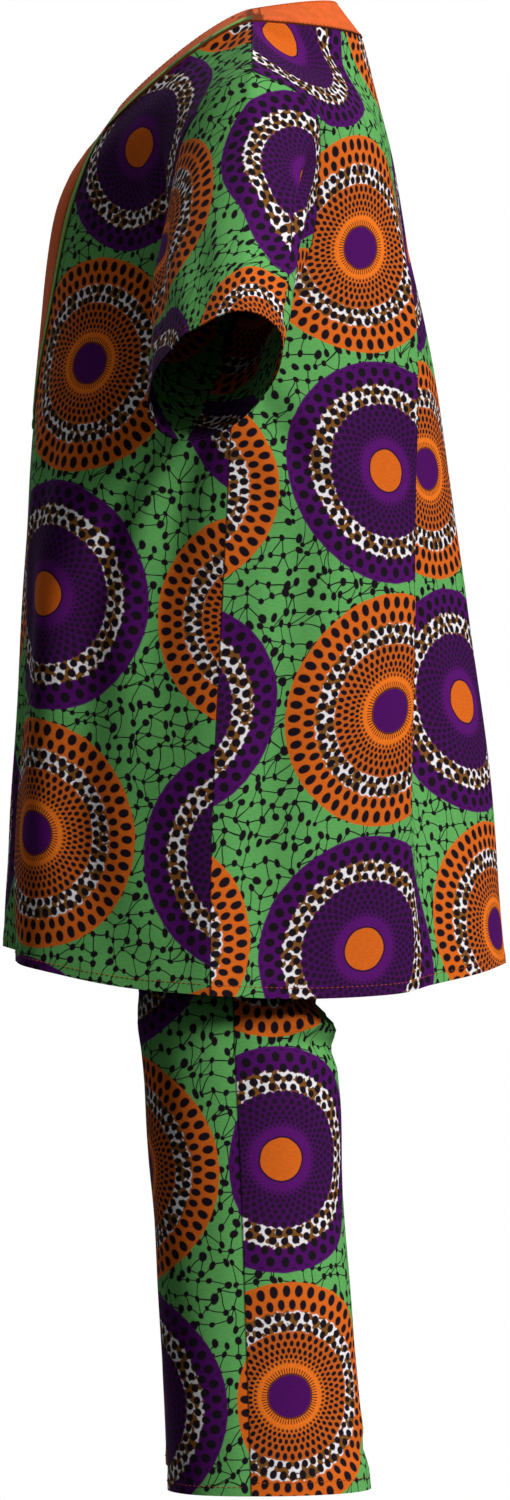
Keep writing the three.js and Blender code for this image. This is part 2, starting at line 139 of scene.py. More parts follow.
BACK_FOLDS = [
    [0.400, 0.590, 0.320, 0.400, 0.0040, 0.014], [0.345, 0.500, 0.352, 0.040, 0.0040, 0.022],
    [0.300, 0.830, 0.322, 0.650, 0.0035, 0.013], [0.060, 0.640, 0.050, 0.300, 0.0030, 0.020],
    [0.180, 0.640, 0.170, 0.200, 0.0050, 0.012], [-0.395, 0.600, -0.310, 0.420, 0.0040, 0.015],
    [-0.350, 0.470, -0.356, 0.030, 0.0045, 0.021], [-0.290, 0.820, -0.318, 0.660, 0.0030, 0.012],
    [-0.175, 0.650, -0.172, 0.220, 0.0050, 0.013], [-0.060, 0.600, -0.045, 0.250, 0.0030, 0.022]]
SLEEVE_FOLDS = [
    [-0.074, 0.050, -0.075, 0.270, 0.0140, 0.010], [-0.030, 0.120, -0.028, 0.330, 0.0020, 0.015],
    [0.112, 0.060, 0.092, 0.290, 0.0040, 0.014], [0.165, 0.100, 0.140, 0.260, 0.0035, 0.013],
    [-0.165, 0.110, -0.140, 0.240, 0.0035, 0.013], [0.045, 0.180, 0.052, 0.330, 0.0020, 0.015]]
LEG_FRONT_FOLDS = [
    [0.020, 0.440, 0.190, 0.462, 0.0025, 0.015], [0.110, 0.300, 0.120, 0.100, 0.0015, 0.022]]
LEG_BACK_FOLDS = [
    [0.040, 0.468, 0.260, 0.448, 0.0150, 0.015], [0.030, 0.415, 0.200, 0.402, 0.0030, 0.012],
    [0.060, 0.028, 0.200, 0.034, 0.0020, 0.010], [0.120, 0.290, 0.135, 0.090, 0.0018, 0.022]]
FOLD_BOW = 0.036         # how far a fold's line bows, as a share of its length
FOLD_DEEP = 0.0035       # folds deeper than this bow the other way
RIDGE_OFF = 1.8          # from a fold's line to the ridge on either side, in half widths
RIDGE_SHARES = 0.55, 0.45
FOLD_ENDS = -0.12, 0.25, 0.7, 1.1  # where a fold starts, is full, starts to fade and ends, along its line
FOLD_WIDENS = 0.8, 0.4   # half width at a fold's start and what it gains by the end, in table widths
# slow unevenness of hanging cloth: wave numbers along x, y and z per metre, phase, share of RIPPLE_HEIGHT
RIPPLES = [(31, 0, 19, 1.3, 1.0), (0, 47, -23, 0.4, 0.6), (71, 71, 37, 0.0, 0.5)]
RIPPLE_HEIGHT = 0.0007
SEAM_FREE = 0.03         # folds reach their full depth this far from a seam
SEAM_SINK = 0.0013
SEAM_HALF = 0.005
SEAM_FADE = 0.02         # the sunk line reaches its full depth this far above a hem
HEM_DEPTH = 0.014
HEM_STEP = 0.0006        # what the turned hem adds to the cloth
HEM_FADE = 0.004
HEM_STITCH = 0.0095      # from the hem's edge to its topstitching
WALL = 0.0014
BAND_WALL = 0.002
STRIP_LIFT = 0.0004      # of a strip's underside off the cloth below
STRIP_THICK = 0.0012
PLACKET_THICK = 0.0014
TURNED_EDGE = 0.0012     # a strip reaches its full thickness this far from its edge
STITCH_GAP = 0.0016
STITCH_RADIUS = 0.00035
STITCH_LIFT = 0.6        # of a stitch's middle line, in radii
STITCH_RINGS, STITCH_SIDES = 5, 6
LINE_POINTS = 600
NECK_STITCH = 0.4        # from the neck band's edge to its topstitching, in grid rows
SIDE_CLEAR = 0.3         # grid columns left without stitches at either end of a leg's or band's line
HEM_CLEAR = 0.5          # and of the tunic's

# shift of the print where folds hold cloth, metres, every TABLE_STEP up the flat cut: across at the centre
# line, at the cut's minus side and at its plus side, and upward
TABLE_STEP = 0.2
FRONT_SHIFT = [[0, -0.007, 0.007, 0], [0, -0.009, 0.009, 0], [0, -0.016, 0.016, 0], [0, -0.039, 0.039, 0.002],
               [0, -0.044, 0.044, 0.015], [0, -0.044, 0.044, 0.015]]
BACK_SHIFT = [[-0.015, -0.012, 0.020, 0], [0.014, -0.029, 0.024, 0.005], [0.029, -0.053, 0.048, 0.002],
              [0.034, -0.051, 0.056, 0.006], [-0.030, -0.078, 0.000, 0.008], [-0.145, -0.120, -0.120, 0]]
BACK_TURN = 0.38, 0.54   # shares of the half width between which the back's long fold takes cloth in
CREASE_PLACE = -0.074    # the sleeve's long crease, from the top of the sleeve toward the back
CREASE_HALF = 0.006
SLEEVE_TAKEN = 0.070
SLEEVE_DRAWN = 0.020, 0.032
TAKEN_BACK = 0, 0.20     # places down the sleeve between which the crease's back side takes cloth in
TAKEN_FRONT = 0.16, 0.30
TAKEN_REACH = -0.02, 0.12  # places across between which the front side's share fades
CAP_END = 0.10, 0.25     # places down the sleeve between which the cap's own shift fades
CAP_REACH = -0.06, 0.20

RELAX_ROUNDS = 400
RELAX_SHARE = 0.15
SLANT_LEAST = 0.3        # a link keeps at least this share of its length when its slant is taken out

V_ROWS = np.concatenate([np.linspace(0, 5, 81), np.linspace(5, 8, 41)[1:]])
U_HALF = np.concatenate([np.linspace(0, NECK_BEND, 37), np.linspace(NECK_BEND, 1, 21)[1:]])
U_COLUMNS = np.concatenate([-U_HALF[:0:-1], U_HALF])
U_NECK = U_COLUMNS[np.abs(U_COLUMNS) <= NECK_BEND + 1e-9]
BAND_ROWS = np.linspace(0, 1, 9)
AROUND = np.linspace(-0.5, 0.5, 97)
SLEEVE_ROWS = np.linspace(0, 1, 45)
LEG_ACROSS = np.linspace(0, 1, 37)
LEG_ROWS = np.linspace(0, 13, 131)
MIRROR = np.array([-1.0, 1, 1])
SAME_PLACE = 0.0002      # edge points closer than this share a normal
STRAIGHT_LEAST = 0.55    # shortest mean of the normals that meet at a seam, before it is stretched

# ---------------------------------------------------------------- print and stage
# radii are shares of a roundel's, which is itself a share of the repeat
ROUNDEL_RADIUS = 0.480
ROUNDEL_EDGE = 0.994, 1.006
PRINT_EDGE = 0.004       # half of the width over which two dyes meet
HUB = 0.188
HUB_RIM = 0.185, 0.203
TICK_RING = 0.19, 0.25
BRIGHT_DISC = 0.27, 0.36
DIM_DISC = 0.57
PALE_RING = 0.566, 0.745
WIDE_DOTS = 0.56, 0.76
LAST_DOTS = 0.975
DOT_EDGE = 0.82, 1.12
RIM_INK = 0.85
TEETH = 50.0, 0.008      # of the pale ring's edge: number and depth
DEEP_RING = -0.040       # how much farther out a deep roundel's pale ring lies
DIM_INK = 0.22, 0.28     # in the dim disc, for warm and deep roundels; so are the pairs of dots' sizes below
BRIGHTER = 1.30, 1.45, 1.25
DOTS_INNER = 0.2826, 0.2790
DOTS_STEP = 0.139, 0.112
DOTS_COUNT = 50.0, 42.0
DOTS_HEIGHT = 0.43, 0.46
DOTS_WIDTH = 0.32, 0.30
WIDER = 0.05
FIRST_DOTS = 0.26, 0.32
FAINT_DOTS = 0.60, 0.20  # dots of a deep roundel inside this radius lose this share of their ink
TICKS, TICK_EDGE = 60.0, (0.26, 0.40)
SOFT_EDGE = 0.008
PRINT_DRIFT = 14.0, 1.0, 0.007     # noise scale, detail and size
BEAD_DRIFT = 9.0, 0.0, 0.035
PATCH_NOISE, PATCH_EDGE = (27.0, 1.0), (0.475, 0.505)
BEAD_CELL = 1.1, 0.9, 0.0
BEAD_SIZES = 0.5, 0.7    # gain with chance, and least
SLUB_STRETCH, SLUB_NOISE, SLUB_EDGE = (40.0, 160.0, 0.0), (1.0, 2.0), (0.3, 0.7)
CLOUD_NOISE, CLOUD_EDGE, CLOUD_DARK = (22.0, 3.0), (0.3, 0.75), 0.86
FLAT, HALF_CELL = (1.0, 1.0, 0.0), (0.5, 0.5, 0.0)
FAR_AWAY = 9.0           # more than any distance between beads, in cells
# lines from bead to bead: cells to the right, cells up, what turns the bead's chance number, share kept
BEAD_LINES = (1, 0, 1.0, 1.0), (0, 1, 7.0, 1.0), (1, 1, 13.0, 0.4)
# painted shade: within these distances of a seam or a strip's edge the base colour is darkened toward black,
# standing in for the shadow line there; SLUB_DARK is the slubs' own darker tone, which varies at random
SEAM_SHADOW_LINE = 0.0004, 0.0016
SEAM_SHADOW, SLUB_DARK = 0.75, 0.12
THREAD_HEIGHT, SHINE = 0.0006, 0.06
THREAD_DARK = 0.6        # the thread's dye, as a share of the band's
FLOOR_HALF, FLOOR_HEIGHT = 0.68, -1.486
# sun lamps: strength, angle, the way to the lamp
LAMPS = {"key": (3.2, 18, (0.57, 0.68, 0.55)), "fill": (0.10, 60, (0.9, -0.5, 0.5)),
         "far_side": (0.9, 60, (-0.8, -0.2, 0.6))}
LAMP_DISTANCE = 3
SKY_GLOW = 0.20, 0.02    # the sky's strength overhead past what it has all round, and all round
SKY_RISE = -0.3, 0.9
FLOOR_DYE, FLOOR_ROUGH = (0.82, 0.82, 0.82, 1), 0.9
CAMERA_DISTANCE = 7.0
CAMERA_TURN = math.radians(89)
CAMERA_TARGET = Vector((0, 0.0047, -0.698))
CAMERA_REACH = 0.705     # half the height that it sees at the target
SENSOR = 36


# ---------------------------------------------------------------- curves and surfaces
def spline(points, t):
    """Catmull-Rom curve through points at whole numbers of t: on each span the cubic that passes both
    ends with half the chord of its neighbours as slope; a missing neighbour is the end point reflected."""
    return spline_from(points, t, 2 * points[0] - points[1])


def spline_from(points, t, before):
    """The same curve with its own neighbour before the first point."""
    padded = np.concatenate([before[None], points, (2 * points[-1] - points[-2])[None]])
    step = np.clip(np.floor(t).astype(int), 0, len(points) - 2)
    f = (t - step).reshape((-1,) + (1,) * (points.ndim - 1))
    p0, p1, p2, p3 = (padded[step + k] for k in range(4))
    return p1 + 0.5 * f * (p2 - p0 + f * (2 * p0 - 5 * p1 + 4 * p2 - p3 + f * (3 * (p1 - p2) + p3 - p0)))


def unit(vectors):
    """The same directions with length 1."""
    return vectors / np.maximum(np.linalg.norm(vectors, axis=-1, keepdims=True), 1e-12)


def place_in(values, value):
    """Fractional number of a value's place in a rising row of values."""
    return float(np.interp(value, values, np.arange(len(values))))


def smooth(low, high, value):
    """Smooth step: 0 below low, 1 above high, 3t^2 - 2t^3 between."""
    t = np.clip((value - low) / (high - low), 0, 1)
    return t * t * (3 - 2 * t)


def neck_edge(size, front, across):
    """Neck edge at a share of the half width. The angle a runs from 90 degrees at the centre line to 0 at
    the shoulder point: x = side cos a, y = reach sin a, and the height changes with a power of sin a at
    the front and with sin a at the back."""
    angle = np.radians(90 * (1 - np.minimum(np.abs(across) / NECK_BEND, 1)))
    reach = np.sin(angle)
    if front:
        fall = size["front_fall"] * np.maximum(reach, 0) ** NECK_POWER
    else:
        fall = size["back_fall"] * reach
    y = (-size["front"] if front else size["back"]) * reach
    return np.stack([size["side"] * np.cos(angle), y, size["height"] + fall], -1)


def top_edge(front, across):
    """Upper edge of a body panel: the neck edge up to the shoulder point, then the straight shoulder."""
    share = np.clip((across - NECK_BEND) / (1 - NECK_BEND), 0, 1)[:, None]
    shoulder = SHOULDER_POINT * (1 - share) + SHOULDER_TIP * share
    return np.where((across <= NECK_BEND)[:, None], neck_edge(NECK_OUTER, front, across), shoulder)


def side_edge(front, v):
    """Side seam below the underarm's row of the table and armhole above it."""
    low = spline(FRONT_NET[:UNDERARM_ROW + 1, -1], np.minimum(v, UNDERARM_ROW))
    climb = (np.maximum(v, UNDERARM_ROW) - UNDERARM_ROW) * ARM_STEPS / (TOP_ROW - UNDERARM_ROW)
    arm = spline(ARM_FRONT if front else ARM_BACK, climb)
    return np.where((v <= UNDERARM_ROW)[:, None], low, arm)


def body_surface(front, u, v):
    """Front or back of the tunic over u (-1 to 1 from side to side) and v (0 at the hem to 8 at the top):
    splines through the table both ways, then the side and top edges are pulled onto their own curves
    with weights that fall to nothing inside the panel."""
    net = FRONT_NET if front else BACK_NET
    across = np.abs(u)
    place = across * (net.shape[1] - 1)
    columns = spline(net, v).transpose(1, 0, 2)
    points = spline_from(columns, place, columns[1] * MIRROR).transpose(1, 0, 2)
    side_share = np.maximum(0, (across - SIDE_PULL) / (1 - SIDE_PULL)) ** 2
    points = points + (side_edge(front, v) - columns[-1])[:, None] * side_share[None, :, None]
    top_now = spline_from(net[TOP_ROW], place, net[TOP_ROW, 1] * MIRROR)
    top_share = np.maximum(0, v - (TOP_ROW - 1)) ** 2
    points = points + (top_edge(front, across) - top_now)[None] * top_share[:, None, None]
    points[..., 0] *= np.where(u < 0, -1, 1)[None]
    return points


def band_surface(front, u, rows):
    """Neck band: straight lines from its outer edge (row 0) to its inner edge (row 1)."""
    rows = rows[:, None, None]
    points = neck_edge(NECK_OUTER, front, u)[None] * (1 - rows) + neck_edge(NECK_INNER, front, u)[None] * rows
    points[..., 0] *= np.where(u < 0, -1, 1)[None]
    return points


def sleeve_surface(around, along):
    """Sleeve: straight lines from the armhole to an oval opening square to the arm, swelled by a half
    sine on the way. around is 0 at the shoulder tip, 0.5 at the underarm by way of the front and -0.5 at
    the underarm by way of the back."""
    around = around % 1
    turn = around * 2 * ARM_STEPS
    front = spline(ARM_FRONT, ARM_STEPS - np.minimum(turn, ARM_STEPS))
    back = spline(ARM_BACK, np.maximum(turn - ARM_STEPS, 0))
    start = np.where((turn <= ARM_STEPS)[:, None], front, back)
    sine, cosine = np.sin(2 * math.pi * around), np.cos(2 * math.pi * around)
    up = SLEEVE_OPENING * cosine
    toward_back = SLEEVE_LEAN[0] + SLEEVE_LEAN[1] * cosine - SLEEVE_LEAN[2] * sine
    opening = np.stack([up * math.sin(SLEEVE_TILT), toward_back, up * math.cos(SLEEVE_TILT)], -1)
    outward, front_side, back_side = SLEEVE_SWELL
    forward = back_side * np.minimum(sine, 0) - front_side * np.maximum(sine, 0)
    lift = np.stack([np.full_like(sine, outward), forward, SLEEVE_RISE[1] * cosine + SLEEVE_RISE[0]], -1)
    t = along[:, None, None]
    return start[None] * (1 - t) + (SLEEVE_HEM + opening)[None] * t + np.sin(math.pi * t) * lift[None]


def leg_surface(front, across, rows):
    """Leg panel: half an oval from the inside seam to the side seam, which above the crotch turns into a
    quarter oval from the centre line; the section sizes are splined up the leg."""
    sizes = spline(LEG_SECTIONS, rows)[:, None]
    z, side_x, side_y, in_x, in_y, front_y, back_y, rise = np.moveaxis(sizes, -1, 0)
    rise = np.clip(rise, 0, 1)
    in_x = np.maximum(in_x, 0)
    depth = front_y if front else back_y
    half = math.pi * (1 - across)
    tube_x = (in_x + side_x) / 2 + (side_x - in_x) / 2 * np.cos(half)
    bulge = np.maximum(np.sin(half), 0) ** TUBE_POWER
    tube_y = in_y + (side_y - in_y) * across + (depth - (in_y + side_y) / 2) * bulge
    quarter = math.pi / 2 * across
    trunk_x = side_x * np.sin(quarter) ** TRUNK_POWER
    trunk_y = side_y + (depth - side_y) * np.maximum(np.cos(quarter), 0) ** TRUNK_POWER
    x = tube_x + (trunk_x - tube_x) * rise
    y = tube_y + (trunk_y - tube_y) * rise
    return np.stack([x, y, np.broadcast_to(z, x.shape)], -1)


# ---------------------------------------------------------------- cloth on the surfaces
def grid_normals(points, closed):
    """Unit normals of a grid: the cross product of the slopes along its rows and its columns."""
    if closed:
        ring = np.concatenate([points[:, -2:-1], points, points[:, 1:2]], 1)
        across = ring[:, 2:] - ring[:, :-2]
    else:
        across = np.gradient(points, axis=1)
    return unit(np.cross(across, np.gradient(points, axis=0)))


def running_sum(lengths, axis):
    """Sums of lengths along an axis, starting with 0."""
    total = np.cumsum(lengths, axis)
    return np.concatenate([np.zeros_like(np.take(total, [0], axis)), total], axis)


def flat_cut(points, centre, slant, level):
    """First flat coordinates of a grid of cloth, metres: lengths across from the centre column and up from
    the first row. slant is the number of rounds that take the other's share out of slanted lines;
    level is how far the heights are drawn to the centre column's."""
    across = np.linalg.norm(np.diff(points, axis=1), axis=-1)
    up = np.linalg.norm(np.diff(points, axis=0), axis=-1)

    def unslanted(lengths, other, axis):
        least = (SLANT_LEAST * lengths) ** 2
        return running_sum(np.sqrt(np.maximum(lengths ** 2 - np.diff(other, axis=axis) ** 2, least)), axis)

    u, v = running_sum(across, 1), running_sum(up, 0)
    for _ in range(slant):
        u = unslanted(across, v, 1)
        u = u - u[:, centre:centre + 1]
        v = unslanted(up, u, 0)
    return u - u[:, centre:centre + 1], v + level * (v[:, centre:centre + 1] - v)


def relax(u, v, points):
    """Flat coordinates pulled toward the cloth's own lengths: in each round every link along the rows, the
    columns and both diagonals moves its two ends by part of what it is too long or too short."""
    flat = np.stack([u, v], -1)
    low, high, every = slice(None, -1), slice(1, None), slice(None)
    links = []
    for first, second in (((every, high), (every, low)), ((high, every), (low, every)),
                          ((high, high), (low, low)), ((high, low), (low, high))):
        links.append((first, second, np.linalg.norm(points[first] - points[second], axis=-1)))
    for _ in range(RELAX_ROUNDS):
        move = np.zeros_like(flat)
        for first, second, length in links:
            gap = flat[first] - flat[second]
            now = np.maximum(np.linalg.norm(gap, axis=-1), 1e-9)
            pull = gap * (RELAX_SHARE * (1 - length / now))[..., None]
            move[first] -= pull
            move[second] += pull
        flat += move
    return flat[..., 0], flat[..., 1]


def folds(u, v, table):
    """Height of the soft folds at flat coordinates: each is a bell-shaped trough across a bowed line with
    two lower ridges beside it, and it fades out toward both ends of its line."""
    height = np.zeros_like(u)
    start, full, fading, end = FOLD_ENDS
    for u0, v0, u1, v1, depth, width in table:
        length = math.hypot(u1 - u0, v1 - v0)
        du, dv = (u1 - u0) / length, (v1 - v0) / length
        t = ((u - u0) * du + (v - v0) * dv) / length
        inside = np.clip(t, 0, 1)
        bow = FOLD_BOW * length * np.sin(math.pi * inside) * (1 if depth > FOLD_DEEP else -1)
        off = ((u - u0) * dv - (v - v0) * du - bow) / (width * (FOLD_WIDENS[0] + FOLD_WIDENS[1] * inside))
        shape = np.exp(-off ** 2)
        for share, place in zip(RIDGE_SHARES, (RIDGE_OFF, -RIDGE_OFF)):
            shape = shape - share * np.exp(-(off - place) ** 2)
        height -= depth * shape * smooth(start, full, t) * (1 - smooth(fading, end, t))
    return height


def ripple(points):
    """Slow unevenness of hanging cloth, about a millimetre: crossed sine waves over the place."""
    waves = (share * np.sin(points @ np.array(wave) + phase) for *wave, phase, share in RIPPLES)
    return RIPPLE_HEIGHT * sum(waves)


class Panel:
    """A piece of cloth: its grid of points in metres, normals, flat cut and which edges are sewn, of
    b and t, the first and last row, and s and e, the first and last column."""

    def __init__(self, points, centre, closed=False, sewn="tse", wall=WALL, slant=0, level=1.0):
        self.closed, self.sewn, self.wall = closed, sewn, wall
        self.centre, self.slant, self.level = centre, slant, level
        self.points = points * MM
        self.normals = grid_normals(self.points, closed)
        self.lay_flat()

    def lay_flat(self, from_top=False):
        """Takes the flat cut off the points; from_top lays the last row level, as a sleeve's straight hem
        is cut, and counts down to it from 0 at the top of the middle column."""
        u, v = flat_cut(self.points, self.centre, self.slant, self.level)
        if from_top:
            v = v - v[-1:] + v[-1, self.centre]
        self.u, self.v = relax(u, v, self.points)
        self.u = self.u - self.u[:1, self.centre]

    def edge_distance(self):
        """Distance on the flat cut from the nearest sewn edge, metres."""
        edges = {"b": self.v - self.v[:1], "t": self.v[-1:] - self.v,
                 "s": self.u - self.u[:, :1], "e": self.u[:, -1:] - self.u}
        far = np.ones_like(self.u)
        for edge in self.sewn:
            far = np.minimum(far, np.abs(edges[edge]))
        return far

    def row_at(self, distance, column):
        """Fractional row where one column's height on the flat cut is a given distance."""
        return place_in(self.v[:, column], distance)

    def press(self, table, sign=1, hem=HEM_DEPTH):
        """Adds folds, ripple, the sunk line beside each seam, and the thicker turned hem. sign -1 turns
        the table's distances across the other way."""
        far = self.edge_distance()
        height = (folds(self.u * sign, self.v, table) + ripple(self.points)) * smooth(0, SEAM_FREE, far)
        sink = SEAM_SINK * (1 - smooth(0, SEAM_HALF, far))
        height -= sink * (smooth(0, SEAM_FADE, self.v) if hem else 1)
        if hem:
            height += HEM_STEP * (1 - smooth(hem, hem + HEM_FADE, self.v))
        self.points = self.points + height[..., None] * self.normals


def shift_print(panel, table, low, high):
    """Moves the print by what the folds hold of the cloth. The table's rows go up the panel by TABLE_STEP
    and give the shift across at the centre line and at either side, which turns into the other between
    the shares low and high of the half width, and the shift up."""
    drift = spline(np.array(table), np.minimum(panel.v.ravel() / TABLE_STEP, len(table) - 1.001))
    centre, minus, plus, rise = drift.T.reshape(4, *panel.v.shape)
    share = smooth(low, high, np.abs(U_COLUMNS))
    panel.u = panel.u + centre * (1 - share) + np.where(panel.u < 0, minus, plus) * share
    panel.v = panel.v + rise


def shift_sleeve_print(panel, sign):
    """Moves the print by what the sleeve's long crease holds: SLEEVE_TAKEN of cloth is drawn in from the
    back side of the crease below the armhole, and from its front side near the hem. SLEEVE_DRAWN is how
    far the cap is drawn to the front and up."""
    u, v = panel.u * sign, panel.v
    front = smooth(CREASE_PLACE - CREASE_HALF, CREASE_PLACE + CREASE_HALF, u)
    back_taken = smooth(*TAKEN_BACK, v) * (1 - front)
    front_taken = smooth(*TAKEN_FRONT, v) * front * (1 - smooth(*TAKEN_REACH, u))
    cap = 1 - smooth(*CAP_END, v)
    panel.u = panel.u - sign * (SLEEVE_TAKEN * (back_taken + front_taken) + SLEEVE_DRAWN[0] * cap)
    panel.v = v + SLEEVE_DRAWN[1] * cap * (1 - smooth(*CAP_REACH, u))


def share_normals(parts):
    """Gives every edge point that shares a place with others their mean normal, a little longer where
    they differ, so that the walls of neighbouring panels meet."""
    places, directions = [], []
    for panel in parts:
        panel.normals = grid_normals(panel.points, panel.closed)
        places.append(np.round(panel.points.reshape(-1, 3) / SAME_PLACE).astype(np.int64))
        directions.append(panel.normals.reshape(-1, 3))
    _, where = np.unique(np.concatenate(places), axis=0, return_inverse=True)
    where = where.reshape(-1)
    total = np.zeros((where.max() + 1, 3))
    np.add.at(total, where, np.concatenate(directions))
    shared = total[where]
    length = np.linalg.norm(shared, axis=1)
    stretch = 1 / np.maximum(STRAIGHT_LEAST, length / np.bincount(where)[where])
    shared = shared / np.maximum(length, 1e-12)[:, None] * stretch[:, None]
    ends = np.cumsum([panel.v.size for panel in parts])[:-1]
    for panel, offsets in zip(parts, np.split(shared, ends)):
        panel.offsets = offsets.reshape(panel.points.shape)


@lru_cache(maxsize=1)
def panels():
    """All panels by name, with one shared normal wherever seam edges meet."""
    made = {}
    for part, front, slant, level in (("front", True, 3, 0.0), ("back", False, 0, 0.5)):
        turn = 1 if front else -1
        body = body_surface(front, U_COLUMNS[::turn], V_ROWS)
        made[f"{part}_cloth"] = Panel(body, len(U_COLUMNS) // 2, slant=slant, level=level)
    for part, front in (("front", True), ("back", False)):
        band = band_surface(front, U_NECK[::1 if front else -1], BAND_ROWS)
        made[f"neck_band_{part}_cloth"] = Panel(band, len(U_NECK) // 2, sewn="bse", wall=BAND_WALL, slant=3,
                                                level=0.0)
    sleeve = sleeve_surface(AROUND, SLEEVE_ROWS)
    for side, points in (("left", sleeve), ("right", sleeve[:, ::-1] * MIRROR)):
        made[f"sleeve_{side}_cloth"] = Panel(points, len(AROUND) // 2, True, "b", level=0.4)
    last = len(LEG_ACROSS) - 1
    for part, front in (("front", True), ("back", False)):
        leg = leg_surface(front, LEG_ACROSS[::1 if front else -1], LEG_ROWS)
        made[f"leg_{part}_left_cloth"] = Panel(leg, last if front else 0)
        made[f"leg_{part}_right_cloth"] = Panel(leg[:, ::-1] * MIRROR, 0 if front else last)
    legs = [made[f"leg_{part}_cloth"].points[-1]
            for part in ("front_right", "front_left", "back_left", "back_right")]
    ring = np.concatenate(legs[:1] + [edge[1:] for edge in legs[1:]])[None] / MM
    share = BAND_ROWS[:, None, None]
    level, height = ring[..., :2] * (1 - WAIST_TAPER * share), ring[..., 2:] + WAIST_HEIGHT * share
    waist = np.concatenate([level, height], -1)
    made["waistband_cloth"] = Panel(waist, 0, True, "b", wall=BAND_WALL)
    shift_print(made["front_cloth"], FRONT_SHIFT, 0.0, PLACKET_HALF)
    shift_print(made["back_cloth"], BACK_SHIFT, *BACK_TURN)
    made["front_cloth"].press(FRONT_FOLDS)
    made["back_cloth"].press(BACK_FOLDS)
    for side, sign in (("left", 1), ("right", -1)):
        sleeve = made[f"sleeve_{side}_cloth"]
        sleeve.press(SLEEVE_FOLDS, sign, hem=0)
        sleeve.lay_flat(from_top=True)
        shift_sleeve_print(sleeve, sign)
        made[f"leg_front_{side}_cloth"].press(LEG_FRONT_FOLDS, -sign)
        made[f"leg_back_{side}_cloth"].press(LEG_BACK_FOLDS, sign)
    share_normals(list(made.values()))
    return made


# ---------------------------------------------------------------- meshes
def grid_faces(rows, columns, start=0, flip=False, closed=False):
    """Quads of a grid of rows by columns corners, numbered from start; a closed grid joins its last
    column back to its first."""
    i, j = np.meshgrid(np.arange(rows - 1), np.arange(columns if closed else columns - 1), indexing="ij")
    k = (j + 1) % columns
    faces = np.stack([i * columns + j, i * columns + k, (i + 1) * columns + k, (i + 1) * columns + j], -1)
    faces = faces.reshape(-1, 4) + start
    return faces[:, ::-1] if flip else faces


def put(name, data):
    """New object with its data, in the open collection."""
    made = bpy.data.objects.new(name, data)
    bpy.context.collection.objects.link(made)
    return made


def fill(target, label, values, kind=np.float32):
    """Writes an array into one property of all the items of a mesh list."""
    target.foreach_set(label, np.ascontiguousarray(values, kind).ravel())


def new_piece(name, points, faces, corner_uv, seam, material, node=None, sharp=45):
    """Puts arrays into a mesh object at the origin that rides on the set's one body. seam is each point's
    distance from the nearest seam, metres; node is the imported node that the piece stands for."""
    mesh = bpy.data.meshes.new(name)
    mesh.vertices.add(len(points))
    fill(mesh.vertices, "co", points)
    mesh.loops.add(faces.size)
    fill(mesh.loops, "vertex_index", faces, np.int32)
    mesh.polygons.add(len(faces))
    fill(mesh.polygons, "loop_start", np.arange(0, faces.size, 4), np.int32)
    mesh.update(calc_edges=True)
    fill(mesh.polygons, "use_smooth", np.ones(len(faces)), bool)
    fill(mesh.uv_layers.new(name="cut").data, "uv", corner_uv)
    fill(mesh.attributes.new("seam", "FLOAT", "POINT").data, "value", seam)
    mesh.set_sharp_from_angle(angle=math.radians(sharp))
    mesh.validate()
    mesh.materials.append(material)
    piece = put(name, mesh)
    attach(piece, "root")
    if node:
        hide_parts(node)
    return piece


def shell(name, outer, inner, uv, closed, material, node, seam):
    """Closed cloth: an outer and an inner skin of the same grid, joined by a rim of quads. uv has one
    more column than a closed grid, so the print doesn't wrap. seam is the distance from the seams."""
    if closed:
        outer, inner, seam = outer[:, :-1], inner[:, :-1], seam[:, :-1]
    rows, columns = outer.shape[:2]
    size, uv_columns = rows * columns, uv.shape[1]
    faces = [grid_faces(rows, columns, 0, False, closed), grid_faces(rows, columns, size, True, closed)]
    spots = grid_faces(rows, uv_columns)
    corners = [spots, spots[:, ::-1]]

    def rim(first, second, first_uv, second_uv):
        faces.append(np.stack([first, first + size, second + size, second], -1))
        corners.append(np.stack([first_uv, first_uv, second_uv, second_uv], -1))

    j = np.arange(uv_columns - 1)
    k = (j + 1) % columns
    last, last_uv = (rows - 1) * columns, (rows - 1) * uv_columns
    rim(j, k, j, j + 1)
    rim(last + k, last + j, last_uv + j + 1, last_uv + j)
    if not closed:
        start = np.arange(rows - 1) * columns
        end = start + columns - 1
        rim(start + columns, start, start + columns, start)
        rim(end, end + columns, end, end + columns)
    points = np.concatenate([outer.reshape(-1, 3), inner.reshape(-1, 3)])
    corner_uv = uv.reshape(-1, 2)[np.concatenate(corners)]
    return new_piece(name, points, np.concatenate(faces), corner_uv, np.tile(seam.ravel(), 2), material,
                     node)


def cloth(name, node, origin, material):
    """One panel as a shell. origin is the flat place of a roundel's middle, metres."""
    panel = panels()[name]
    half = panel.offsets * panel.wall / 2
    uv = (np.stack([panel.u, panel.v], -1) - origin) / settings().repeat
    return shell(name, panel.points + half, panel.points - half, uv, panel.closed, material, node,
                 panel.edge_distance())


def sample(values, i, j):
    """Values of a grid at fractional rows i and columns j, by straight lines both ways."""
    a = np.clip(np.floor(i).astype(int), 0, values.shape[0] - 2)
    b = np.clip(np.floor(j).astype(int), 0, values.shape[1] - 2)
    fi, fj = (i - a)[..., None], (j - b)[..., None]
    low = values[a, b] * (1 - fj) + values[a, b + 1] * fj
    high = values[a + 1, b] * (1 - fj) + values[a + 1, b + 1] * fj
    return low * (1 - fi) + high * fi


